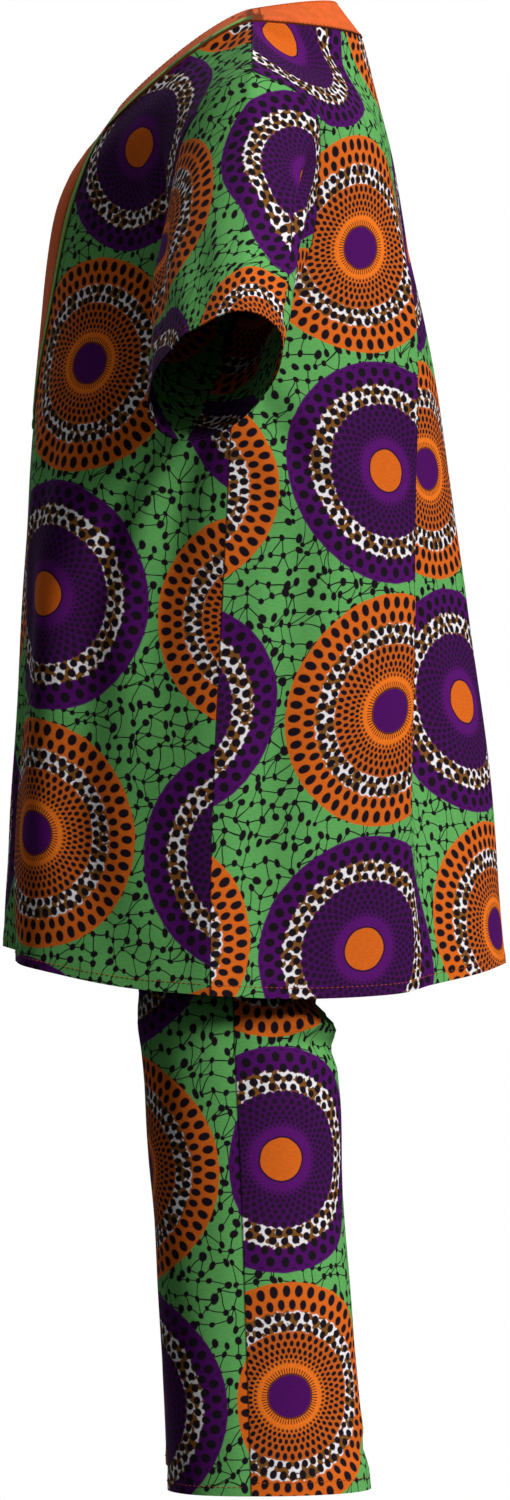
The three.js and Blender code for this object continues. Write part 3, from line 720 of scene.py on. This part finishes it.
def applied(name, node, panel, rows, columns, material, thick=STRIP_THICK):
    """Strip on a panel: the panel's skin between two fractional rows and two fractional columns, moved
    out, its upper skin sinking to the lower along all four edges as a turned edge does."""
    (row_low, row_high), (column_low, column_high) = rows, sorted(columns)
    i = np.linspace(row_low, row_high, max(4, int(row_high - row_low) + 2))[:, None]
    j = np.linspace(column_low, column_high, max(7, int(column_high - column_low) * 2 + 1))[None]
    out = unit(sample(panel.offsets, i, j))
    flat = sample(np.stack([panel.u, panel.v], -1), i, j)
    u, v = flat[..., 0], flat[..., 1]
    inset_u = np.minimum(np.abs(u - u[:, :1]), np.abs(u - u[:, -1:]))
    inset_v = np.minimum(np.abs(v - v[:1]), np.abs(v - v[-1:]))
    inset = np.minimum(inset_u, inset_v)
    lower = sample(panel.points, i, j) + out * (panel.wall / 2 + STRIP_LIFT)
    upper = lower + out * (thick * smooth(-TURNED_EDGE, TURNED_EDGE, inset))[..., None]
    return shell(name, upper, lower, flat / settings().repeat, False, material, node, inset)


def line_on(panel, row, margin):
    """Points and outward directions along a fractional row of a panel's outer skin, from margin columns
    inside its first column to as many inside its last."""
    j = np.linspace(margin, panel.u.shape[1] - 1 - margin, LINE_POINTS)
    i = np.full(LINE_POINTS, row)
    out = unit(sample(panel.offsets, i, j))
    return sample(panel.points, i, j) + out * panel.wall / 2, out


def stitches(name, lines, material):
    """Sewing: along each line of points and outward directions, equal stitches laid end to end. Each is
    a spindle of rings whose radius follows an oval, with its middle line a little above the cloth."""
    length = settings().stitch
    s = np.linspace(-1, 1, STITCH_RINGS)[:, None]
    radius = STITCH_RADIUS * np.sqrt(np.maximum(1.05 - s ** 2, 0.02))
    angle = np.linspace(0, 2 * math.pi, STITCH_SIDES, endpoint=False)
    lift = STITCH_RADIUS * STITCH_LIFT
    shape = [s * length / 2, radius * np.cos(angle), radius * np.sin(angle) + lift]
    shape = np.stack(np.broadcast_arrays(*shape), -1)
    size = STITCH_RINGS * STITCH_SIDES
    cap = np.array([[0, 1, 2, 3], [0, 3, 4, 5]])
    tube = grid_faces(STITCH_RINGS, STITCH_SIDES, 0, True, True)
    one = np.concatenate([tube, cap, cap[:, ::-1] + size - STITCH_SIDES])
    bodies = []
    for line, out in lines:
        run = running_sum(np.linalg.norm(np.diff(line, axis=0), axis=1), 0)
        middles = np.arange(STITCH_GAP + length / 2, run[-1] - length / 2, length + STITCH_GAP)
        at, ahead, up = (np.stack([np.interp(places, run, values[:, k]) for k in range(3)], -1)
                         for values, places in ((line, middles), (line, middles + MM), (out, middles)))
        ahead = unit(ahead - at)
        up = unit(up - ahead * np.sum(up * ahead, axis=1, keepdims=True))
        ways = np.stack([ahead, np.cross(ahead, up), up], 1)
        bodies.append(at[:, None, None] + np.einsum("nwk,rsw->nrsk", ways, shape))
    points = np.concatenate(bodies).reshape(-1, 3)
    faces = (one[None] + np.arange(0, len(points), size)[:, None, None]).reshape(-1, 4)
    return new_piece(name, points, faces, np.zeros((faces.size, 2)), np.ones(len(points)), material,
                     sharp=80)


# ---------------------------------------------------------------- materials
class Graph:
    """Short names for shader nodes: a value is a socket, a number or a tuple."""

    def __init__(self, tree):
        self.tree = tree

    def node(self, kind, given=None, **values):
        """New node with its properties set, and its inputs filled from given by name or number."""
        made = self.tree.nodes.new(kind)
        for key, value in values.items():
            setattr(made, key, value)
        for key, value in (given or {}).items():
            self.link(value, made.inputs[key])
        return made

    def link(self, value, socket):
        if isinstance(value, bpy.types.NodeSocket):
            self.tree.links.new(value, socket)
        else:
            socket.default_value = value

    def math(self, operation, *values, clamp=False):
        given = dict(enumerate(values))
        return self.node("ShaderNodeMath", given, operation=operation, use_clamp=clamp).outputs[0]

    def vector(self, operation, *values, out="Vector"):
        return self.node("ShaderNodeVectorMath", dict(enumerate(values)), operation=operation).outputs[out]

    def scale(self, vector, factor):
        return self.node("ShaderNodeVectorMath", {0: vector, "Scale": factor}, operation="SCALE").outputs[0]

    def split(self, vector):
        return self.node("ShaderNodeSeparateXYZ", {0: vector}).outputs

    def mix(self, share, first, second):
        return self.node("ShaderNodeMix", {"Factor": share, 6: first, 7: second}, data_type="RGBA").outputs[2]

    def noise(self, vector, scale, detail):
        given = {"Vector": vector, "Scale": scale, "Detail": detail}
        return self.node("ShaderNodeTexNoise", given, noise_dimensions="2D").outputs

    def off_middle(self, colour, size):
        """Noise colour as a shift around 0."""
        return self.scale(self.vector("SUBTRACT", colour, (0.5, 0.5, 0.5)), size)

    def drift(self, vector, scale, detail, size):
        """Shift that wanders over the place."""
        return self.off_middle(self.noise(vector, scale, detail)["Color"], size)

    def group(self, tree, given):
        """Node of a finished group with its inputs filled."""
        made = self.node("ShaderNodeGroup", node_tree=tree)
        for key, value in given.items():
            self.link(value, made.inputs[key])
        return made.outputs

    def step(self, value, low, high):
        """1 above high, 0 below low, smooth between."""
        given = {"Value": value, "From Min": low, "From Max": high}
        return self.node("ShaderNodeMapRange", given, interpolation_type="SMOOTHSTEP").outputs["Result"]

    def fall(self, value, low, high):
        """1 below low, 0 above high, smooth between."""
        return self.math("SUBTRACT", 1.0, self.step(value, low, high))

    def band(self, value, low, high, soft=PRINT_EDGE):
        """1 between low and high."""
        return self.math("MULTIPLY", self.step(value, low - soft, low + soft),
                         self.fall(value, high - soft, high + soft))

    def either(self, chosen, first, second):
        """The number first where chosen is 0 and second where it is 1."""
        return self.math("MULTIPLY_ADD", chosen, second - first, first)


NUMBER, VECTOR, COLOUR = "NodeSocketFloat", "NodeSocketVector", "NodeSocketColor"


def shader_group(name, inputs, outputs):
    """Turns a function that draws nodes from a group's inputs to its outputs into one that returns the
    finished group, drawn the first time it is asked for. An input is its kind or its default number."""
    def finish(draw):
        @wraps(draw)
        def finished():
            tree = bpy.data.node_groups.get(name)
            if tree:
                return tree
            tree = bpy.data.node_groups.new(name, "ShaderNodeTree")
            for label, value in inputs.items():
                kind = NUMBER if isinstance(value, float) else value
                socket = tree.interface.new_socket(label, in_out="INPUT", socket_type=kind)
                if kind == NUMBER:
                    socket.default_value = value
            for label, kind in outputs.items():
                tree.interface.new_socket(label, in_out="OUTPUT", socket_type=kind)
            g = Graph(tree)
            draw(g, g.node("NodeGroupInput").outputs, g.node("NodeGroupOutput").inputs)
            return tree
        return finished
    return finish


@shader_group("dot_rows", {"Radius": 0.5, "Angle": 0.0, "Inner": 0.2457, "Row Step": 0.139, "Count": 50.0,
                           "Width": 0.3, "Height": 0.46}, {"Mask": NUMBER})
def dot_rows_group(g, value, result):
    """Rows of dots in a ring, each row turned half a dot from the last. Rows step evenly in the
    logarithm of the radius, so dots shrink toward the middle; a dot is an oval in that map."""
    ratio = g.math("DIVIDE", g.math("MAXIMUM", value["Radius"], 0.01), value["Inner"])
    depth = g.math("DIVIDE", g.math("LOGARITHM", ratio, math.e), value["Row Step"])
    odd = g.math("FLOORED_MODULO", g.math("FLOOR", depth), 2.0)
    turn = g.math("ADD", g.math("MULTIPLY", value["Angle"], value["Count"]), g.math("MULTIPLY", odd, 0.5))
    across = g.math("DIVIDE", g.math("SUBTRACT", g.math("FRACT", turn), 0.5), value["Width"])
    along = g.math("DIVIDE", g.math("SUBTRACT", g.math("FRACT", depth), 0.5), value["Height"])
    far = g.math("SQRT", g.math("ADD", g.math("MULTIPLY", across, across), g.math("MULTIPLY", along, along)))
    g.link(g.fall(far, *DOT_EDGE), result["Mask"])


@shader_group("segment_distance", {"Place": VECTOR, "First": VECTOR, "Second": VECTOR}, {"Distance": NUMBER})
def segment_group(g, value, result):
    """Distance of a place from the straight line between two points."""
    line = g.vector("SUBTRACT", value["Second"], value["First"])
    here = g.vector("SUBTRACT", value["Place"], value["First"])
    length = g.math("MAXIMUM", g.vector("DOT_PRODUCT", line, line, out="Value"), 0.0001)
    share = g.math("DIVIDE", g.vector("DOT_PRODUCT", here, line, out="Value"), length, clamp=True)
    away = g.vector("SUBTRACT", here, g.scale(line, share))
    g.link(g.vector("LENGTH", away, out="Value"), result["Distance"])


@shader_group("beads_and_lines", {"Vector": VECTOR, "Scale": 18.0, "Looseness": 0.75, "Bead": 0.26,
                                  "Line": 0.042, "Share": 0.6}, {"Mask": NUMBER})
def beads_group(g, value, result):
    """Dark beads joined by thin lines. Each cell of a grid holds one bead, off its middle by chance. Lines
    run from a bead to its neighbours on the right, above and diagonally above, each where a chance
    number of the first bead picks it."""
    place = g.vector("ADD", value["Vector"], g.drift(value["Vector"], *BEAD_DRIFT))
    place = g.vector("MULTIPLY", g.scale(place, value["Scale"]), BEAD_CELL)
    cell = g.vector("FLOOR", place)
    local = g.vector("SUBTRACT", place, cell)
    beads, chances = {}, {}
    nearest = FAR_AWAY
    for i in (-1, 0, 1):
        for j in (-1, 0, 1):
            corner = {"Vector": g.vector("ADD", cell, (float(i), float(j), 0.0))}
            chance = g.node("ShaderNodeTexWhiteNoise", corner, noise_dimensions="2D").outputs
            off = g.off_middle(chance["Color"], value["Looseness"])
            spot = g.vector("MULTIPLY", g.vector("ADD", off, (i + 0.5, j + 0.5, 0.0)), FLAT)
            beads[i, j], chances[i, j] = spot, chance["Value"]
            away = g.vector("LENGTH", g.vector("SUBTRACT", local, spot), out="Value")
            size = g.math("MULTIPLY_ADD", chance["Value"], *BEAD_SIZES)
            nearest = g.math("MINIMUM", nearest, g.math("DIVIDE", away, size))
    closest = FAR_AWAY
    for right, above, turn, kept in BEAD_LINES:
        share = g.math("MULTIPLY", value["Share"], kept)
        for (i, j), bead in beads.items():
            other = beads.get((i + right, j + above))
            if other is None:
                continue
            away = g.group(segment_group(), {"Place": local, "First": bead, "Second": other})[0]
            left_out = g.math("GREATER_THAN", g.math("FRACT", g.math("MULTIPLY", chances[i, j], turn)), share)
            closest = g.math("MINIMUM", closest, g.math("ADD", away, left_out))
    masks = [g.fall(distance, g.math("MULTIPLY", value[label], low), g.math("MULTIPLY", value[label], high))
             for distance, label, low, high in ((nearest, "Bead", 0.85, 1.15), (closest, "Line", 0.5, 1.5))]
    g.link(g.math("MAXIMUM", *masks), result["Mask"])


@shader_group("roundel_print", {"Vector": VECTOR, "Ground": COLOUR, "Warm": COLOUR, "Deep": COLOUR,
                                "Paper": COLOUR, "Brown": COLOUR, "Ink": COLOUR}, {"Color": COLOUR})
def roundel_group(g, value, result):
    """The print over repeats of its UV map: one roundel to each whole number, warm and deep ones by
    turns as on a chequerboard, on a ground of beads and lines."""
    place = g.vector("ADD", value["Vector"], g.drift(value["Vector"], *PRINT_DRIFT))
    cell = g.vector("FLOOR", g.vector("ADD", place, HALF_CELL))
    local = g.vector("MULTIPLY", g.vector("SUBTRACT", place, cell), FLAT)
    here, whole = g.split(local), g.split(cell)
    warm = g.math("GREATER_THAN", g.math("FLOORED_MODULO", g.math("ADD", whole[0], whole[1]), 2.0), 0.5)
    deep = g.math("SUBTRACT", 1.0, warm)
    radius = g.math("DIVIDE", g.vector("LENGTH", local, out="Value"), ROUNDEL_RADIUS)
    angle = g.math("ADD", g.math("DIVIDE", g.math("ARCTAN2", here[1], here[0]), 2 * math.pi), 0.5)

    def below(limit):
        return g.fall(radius, limit - PRINT_EDGE, limit + PRINT_EDGE)

    main = g.mix(warm, value["Deep"], value["Warm"])
    other = g.mix(warm, value["Warm"], value["Deep"])
    wave = g.math("COSINE", g.math("MULTIPLY", angle, TEETH[0] * 2 * math.pi))
    edge = g.math("MULTIPLY_ADD", deep, DEEP_RING, g.math("MULTIPLY_ADD", wave, TEETH[1], radius))
    brown = g.step(g.noise(value["Vector"], *PATCH_NOISE)[0], *PATCH_EDGE)
    ring = g.mix(brown, value["Paper"], value["Brown"])
    shade = g.mix(g.band(edge, *PALE_RING, SOFT_EDGE), main, ring)
    shade = g.mix(below(DIM_DISC), shade, g.mix(g.either(deep, *DIM_INK), main, value["Ink"]))
    shade = g.mix(g.fall(radius, *BRIGHT_DISC), shade, g.vector("MULTIPLY", main, BRIGHTER))
    width = g.math("MULTIPLY_ADD", g.band(radius, *WIDE_DOTS), WIDER, g.either(deep, *DOTS_WIDTH))
    dots = g.group(dot_rows_group(), {
        "Radius": radius, "Angle": angle, "Inner": g.either(deep, *DOTS_INNER),
        "Row Step": g.either(deep, *DOTS_STEP), "Count": g.either(deep, *DOTS_COUNT),
        "Height": g.either(deep, *DOTS_HEIGHT), "Width": width})[0]
    turned = g.math("FRACT", g.math("MULTIPLY", angle, TICKS))
    spokes = g.math("ABSOLUTE", g.math("SUBTRACT", turned, 0.5))
    ticks = g.math("MULTIPLY", g.band(radius, *TICK_RING, SOFT_EDGE), g.step(spokes, *TICK_EDGE))
    rim = g.math("MULTIPLY", g.band(radius, *HUB_RIM), RIM_INK)
    faded = g.math("MULTIPLY", g.math("MULTIPLY", deep, below(FAINT_DOTS[0])), FAINT_DOTS[1])
    faint = g.math("SUBTRACT", 1.0, faded)
    rows = g.math("MULTIPLY", g.math("MULTIPLY", dots, g.step(radius, *FIRST_DOTS)), faint)
    rows = g.math("MULTIPLY", rows, below(LAST_DOTS))
    ink = g.math("MAXIMUM", g.math("MULTIPLY", ticks, warm), g.math("MAXIMUM", rim, rows))
    shade = g.mix(below(HUB), g.mix(ink, shade, value["Ink"]), other)
    beads = g.group(beads_group(), {"Vector": value["Vector"]})[0]
    field = g.mix(beads, value["Ground"], value["Ink"])
    g.link(g.mix(g.fall(radius, *ROUNDEL_EDGE), field, shade), result["Color"])


@shader_group("cotton_weave", {"Vector": VECTOR, "Thread": 0.0007, "Repeat": 0.218},
              {"Height": NUMBER, "Shade": NUMBER})
def weave_group(g, value, result):
    """Plain weave: crossed sine threads on the UV map in metres, with slubs from noise. Puts out a
    height for bump and a mask for the slubs' shade."""
    threads = g.math("DIVIDE", g.math("MULTIPLY", value["Repeat"], math.pi), value["Thread"])
    split = g.split(g.scale(value["Vector"], threads))
    crossed = g.math("MULTIPLY", g.math("SINE", split[0]), g.math("SINE", split[1]))
    slub = g.noise(g.vector("MULTIPLY", value["Vector"], SLUB_STRETCH), *SLUB_NOISE)[0]
    g.link(g.math("ADD", g.math("MULTIPLY", crossed, 0.5), slub), result["Height"])
    g.link(g.step(slub, *SLUB_EDGE), result["Shade"])


def finish_material(name, colour_of, roughness, sheen, bump):
    """Cotton material: colour_of(graph, uv) gives the base colour, which is darkened a little by the weave's
    slubs, and more by painted shade in the line of a seam or an edge, standing in for the shadow that falls
    there."""
    material = bpy.data.materials.get(name)
    if material:
        return material
    material = bpy.data.materials.new(name)
    material.use_nodes = True
    material.node_tree.nodes.clear()
    g = Graph(material.node_tree)
    uv = g.node("ShaderNodeUVMap", uv_map="cut").outputs[0]
    weave = g.group(weave_group(), {"Vector": uv})
    seam = g.node("ShaderNodeAttribute", attribute_name="seam").outputs["Fac"]
    # painted shade: a dark line along seams and strip edges, standing in for their shadow; the slubs add their
    # own random darker tone
    crease = g.math("MULTIPLY", g.fall(seam, *SEAM_SHADOW_LINE), SEAM_SHADOW)
    shade = g.math("MAXIMUM", crease, g.math("MULTIPLY", weave["Shade"], SLUB_DARK))
    bumped = g.node("ShaderNodeBump", {"Strength": bump, "Distance": THREAD_HEIGHT, "Height": weave["Height"]})
    shader = g.node("ShaderNodeBsdfPrincipled", {
        "Base Color": g.mix(shade, colour_of(g, uv), (0, 0, 0, 1)), "Normal": bumped.outputs[0],
        "Roughness": roughness, "Sheen Weight": sheen, "Specular IOR Level": SHINE})
    g.node("ShaderNodeOutputMaterial", {"Surface": shader.outputs[0]})
    return material


def printed_cotton():
    """The roundel print on cotton."""
    def colour(g, uv):
        dyes = {label: (*getattr(settings(), label.lower()), 1)
                for label in ("Ground", "Warm", "Deep", "Paper", "Brown", "Ink")}
        return g.group(roundel_group(), {"Vector": uv, **dyes})["Color"]

    return finish_material("roundel_cotton", colour, 0.85, 0.01, 0.25)


def plain_cotton(name, colour):
    """Cotton of one dye, slightly uneven."""
    def dyed(g, uv):
        cloud = g.step(g.noise(uv, *CLOUD_NOISE)[0], *CLOUD_EDGE)
        return g.mix(cloud, (*colour, 1), (*[c * CLOUD_DARK for c in colour], 1))

    return finish_material(name, dyed, 0.8, 0.03, 0.3)


# ---------------------------------------------------------------- settings, operators and panel
def dye(label, description, colour):
    """Setting for one dye."""
    return bpy.props.FloatVectorProperty(name=label, description=description, subtype="COLOR",
                                         default=colour, min=0, max=1)


def measure(label, description, size, least, most):
    """Setting for one length."""
    return bpy.props.FloatProperty(name=label, description=description, default=size, min=least, max=most,
                                   unit="LENGTH")


class GarmentSettings(bpy.types.PropertyGroup):
    """Sizes and dyes that a user would change."""
    repeat: measure("Print repeat", "Distance between the middles of two roundels", 0.218, 0.05, 0.5)
    stitch: measure("Stitch length", "Length of one topstitch", 0.0034, 0.001, 0.01)
    ground: dye("Ground", "Dye of the ground", (0.132, 0.450, 0.118))
    warm: dye("Warm roundel", "Dye of the orange roundels", (0.780, 0.150, 0.013))
    deep: dye("Deep roundel", "Dye of the purple roundels", (0.084, 0.005, 0.130))
    paper: dye("Ring", "Undyed cloth of the rings", (0.970, 0.930, 0.960))
    brown: dye("Ring patches", "Dye of the patches on the rings", (0.230, 0.090, 0.015))
    ink: dye("Ink", "Dye of the dots and lines", (0.012, 0.007, 0.012))
    plain: dye("Band", "Dye of the neck band and placket", (0.880, 0.150, 0.028))
    trim: dye("Strips", "Dye of the green strips", (0.300, 0.560, 0.130))


def settings():
    """The scene's garment settings."""
    return bpy.context.scene.garment


class GARMENT_OT_tunic(bpy.types.Operator):
    """Front and back of the tunic"""
    bl_idname = "garment.tunic"
    bl_label = "Tunic body"

    def execute(self, context):
        cotton = printed_cotton()
        front = cloth("front_cloth", "tunic_front", (0.175, 0.343), cotton)
        back = cloth("back_cloth", "tunic_back", (-0.257, 0.472), cotton)
        return {"FINISHED"}


class GARMENT_OT_sleeves(bpy.types.Operator):
    """Both short sleeves"""
    bl_idname = "garment.sleeves"
    bl_label = "Sleeves"

    def execute(self, context):
        cotton = printed_cotton()
        left = cloth("sleeve_left_cloth", "sleeve_left", (-0.096, 0.134), cotton)
        right = cloth("sleeve_right_cloth", "sleeve_right", (-0.080, 0.150), cotton)
        return {"FINISHED"}


class GARMENT_OT_neck(bpy.types.Operator):
    """Neck band, placket and the green strips"""
    bl_idname = "garment.neck"
    bl_label = "Neck band and placket"

    def execute(self, context):
        plain = plain_cotton("orange_cotton", tuple(settings().plain))
        green = plain_cotton("green_cotton", tuple(settings().trim))
        for part, flat, area in (("front", (0.26, 0.19), 0.0184), ("back", (0.25, 0.11), 0.0129)):
            band = cloth(f"neck_band_{part}_cloth", f"neck_band_{part}", (0, 0), plain)
        front, band = panels()["front_cloth"], panels()["neck_band_front_cloth"]
        foot, strip_foot = (place_in(V_ROWS, row) for row in (PLACKET_FOOT, STRIP_FOOT))
        rows = foot, len(V_ROWS) - 1 - SEAM_CLEAR
        sides = [place_in(U_COLUMNS, sign * PLACKET_HALF) for sign in (-1, 1)]
        placket = applied("placket_cloth", "placket", front, rows, sides, plain,
                          PLACKET_THICK)
        for side, sign in (("left", 1), ("right", -1)):
            sides = [place_in(U_COLUMNS, sign * share) for share in (PLACKET_HALF + STRIP_GAP, STRIP_HALF)]
            strip = applied(f"placket_strip_{side}", f"placket_trim_{side}", front, rows, sides, green)
            sides = [place_in(U_NECK, sign * share) for share in (STRIP_HALF + STRIP_GAP, NECK_BEND)]
            strip = applied(f"neck_strip_{side}", f"neck_trim_{side}", band,
                            (SEAM_CLEAR, (len(BAND_ROWS) - 1) * TRIM_SHARE), sides, green)
        sides = [place_in(U_COLUMNS, sign * STRIP_HALF) for sign in (-1, 1)]
        strip = applied("placket_strip_bottom", "placket_trim_bottom", front,
                        (strip_foot, foot - FOOT_CLEAR), sides, green)
        return {"FINISHED"}


class GARMENT_OT_trousers(bpy.types.Operator):
    """Four trouser panels and the waistband"""
    bl_idname = "garment.trousers"
    bl_label = "Trousers"

    def execute(self, context):
        cotton = printed_cotton()
        places = {"front_left": (-0.124, 0.082), "front_right": (0.060, 0.150),
                  "back_left": (0.039, 0.310), "back_right": (-0.120, 0.210)}
        for part, origin in places.items():
            leg = cloth(f"leg_{part}_cloth", f"trouser_{part}", origin, cotton)
        band = cloth("waistband_cloth", "waistband", (0, 0), cotton)
        return {"FINISHED"}


class GARMENT_OT_stitching(bpy.types.Operator):
    """Topstitching on the hems, the neck band and the sleeves"""
    bl_idname = "garment.stitching"
    bl_label = "Topstitching"

    def execute(self, context):
        thread = plain_cotton("orange_thread", tuple(THREAD_DARK * c for c in settings().plain))
        made = panels()
        hem = made["front_cloth"].row_at(HEM_STITCH, len(U_HALF))
        body = [line_on(made[f"{part}_cloth"], hem, HEM_CLEAR) for part in ("front", "back")]
        stitches("tunic_hem_stitches", body, thread)
        for side in ("left", "right"):
            sleeve = made[f"sleeve_{side}_cloth"]
            row = sleeve.row_at(sleeve.v[-1, sleeve.centre] - HEM_STITCH, sleeve.centre)
            stitches(f"sleeve_{side}_stitches", [line_on(sleeve, row, 0)], thread)
            legs = [made[f"leg_{part}_{side}_cloth"] for part in ("front", "back")]
            hems = [line_on(leg, leg.row_at(HEM_STITCH, len(LEG_ACROSS) // 2), SIDE_CLEAR) for leg in legs]
            stitches(f"leg_{side}_stitches", hems, thread)
        inner = len(BAND_ROWS) - 1 - NECK_STITCH
        neck = [line_on(made[f"neck_band_{part}_cloth"], row, SIDE_CLEAR)
                for part, row in (("front", inner), ("back", inner), ("back", NECK_STITCH))]
        stitches("neck_stitches", neck, thread)
        return {"FINISHED"}


def aim(thing, direction):
    """Turns a lamp or camera to look along a direction."""
    thing.rotation_mode = "QUATERNION"
    thing.rotation_quaternion = direction.to_track_quat("-Z", "Y")


class GARMENT_OT_stage(bpy.types.Operator):
    """Pale floor, soft light and camera"""
    bl_idname = "garment.stage"
    bl_label = "Stage"

    def execute(self, context):
        self.lay_floor()
        self.light_sky(context.scene)
        for name, (strength, angle, place) in LAMPS.items():
            lamp = bpy.data.lights.new(name, "SUN")
            lamp.energy, lamp.angle = strength, math.radians(angle)
            light = put(name, lamp)
            aim(light, -Vector(place).normalized())
            light.location = [LAMP_DISTANCE * c for c in place]
        lens = bpy.data.cameras.new("camera")
        camera = put("camera", lens)
        lens.sensor_width = SENSOR
        lens.lens = SENSOR / 2 * CAMERA_DISTANCE / CAMERA_REACH
        lens.clip_end = 100
        back = Vector((math.sin(CAMERA_TURN), -math.cos(CAMERA_TURN), 0))
        camera.location = CAMERA_TARGET + back * CAMERA_DISTANCE
        aim(camera, -back)
        context.scene.camera = camera
        context.scene.view_settings.view_transform = "Standard"
        return {"FINISHED"}

    def lay_floor(self):
        """Pale square floor under the hems, which throws no light back up."""
        mesh = bpy.data.meshes.new("studio_floor")
        signs = (-1, -1), (1, -1), (1, 1), (-1, 1)
        corners = [(x * FLOOR_HALF, y * FLOOR_HALF, FLOOR_HEIGHT) for x, y in signs]
        mesh.from_pydata(corners, [], [(0, 1, 2, 3)])
        paint = bpy.data.materials.new("studio_floor")
        paint.use_nodes = True
        shader = paint.node_tree.nodes["Principled BSDF"]
        shader.inputs["Base Color"].default_value = FLOOR_DYE
        shader.inputs["Roughness"].default_value = FLOOR_ROUGH
        mesh.materials.append(paint)
        floor = put("studio_floor", mesh)
        floor.visible_diffuse = False

    def light_sky(self, scene):
        """White sky where the camera looks past the set; what lights it is dim and brighter above."""
        scene.world = bpy.data.worlds.new("studio")
        scene.world.use_nodes = True
        scene.world.node_tree.nodes.clear()
        g = Graph(scene.world.node_tree)
        height = g.split(g.node("ShaderNodeTexCoord").outputs["Generated"])[2]
        glow = g.math("MULTIPLY_ADD", g.step(height, *SKY_RISE), *SKY_GLOW)
        lit = g.node("ShaderNodeBackground", {"Color": (1, 1, 1, 1), "Strength": glow})
        seen = g.node("ShaderNodeBackground", {"Color": (1, 1, 1, 1)})
        by_camera = g.node("ShaderNodeLightPath").outputs["Is Camera Ray"]
        blend = g.node("ShaderNodeMixShader", {0: by_camera, 1: lit.outputs[0], 2: seen.outputs[0]})
        g.node("ShaderNodeOutputWorld", {"Surface": blend.outputs[0]})


class GARMENT_PT_panel(bpy.types.Panel):
    """Lists the steps and the settings"""
    bl_idname = "GARMENT_PT_panel"
    bl_label = "Tunic and trousers"
    bl_space_type = "VIEW_3D"
    bl_region_type = "UI"
    bl_category = "Garment"

    def draw(self, context):
        for step in STEPS:
            self.layout.operator(step.bl_idname)
        for label in GarmentSettings.__annotations__:
            self.layout.prop(context.scene.garment, label)


STEPS = (GARMENT_OT_tunic, GARMENT_OT_sleeves, GARMENT_OT_neck, GARMENT_OT_trousers, GARMENT_OT_stitching,
         GARMENT_OT_stage)


def register():
    for part in (GarmentSettings, *STEPS, GARMENT_PT_panel):
        bpy.utils.register_class(part)
    bpy.types.Scene.garment = bpy.props.PointerProperty(type=GarmentSettings)


def unregister():
    del bpy.types.Scene.garment
    for part in reversed((GarmentSettings, *STEPS, GARMENT_PT_panel)):
        bpy.utils.unregister_class(part)


def main():
    """Builds every piece in order."""
    register()
    bpy.ops.garment.tunic()
    bpy.ops.garment.sleeves()
    bpy.ops.garment.neck()
    bpy.ops.garment.trousers()
    bpy.ops.garment.stitching()
    bpy.ops.garment.stage()
    bpy.context.view_layer.update()


if __name__ == "__main__":
    main()
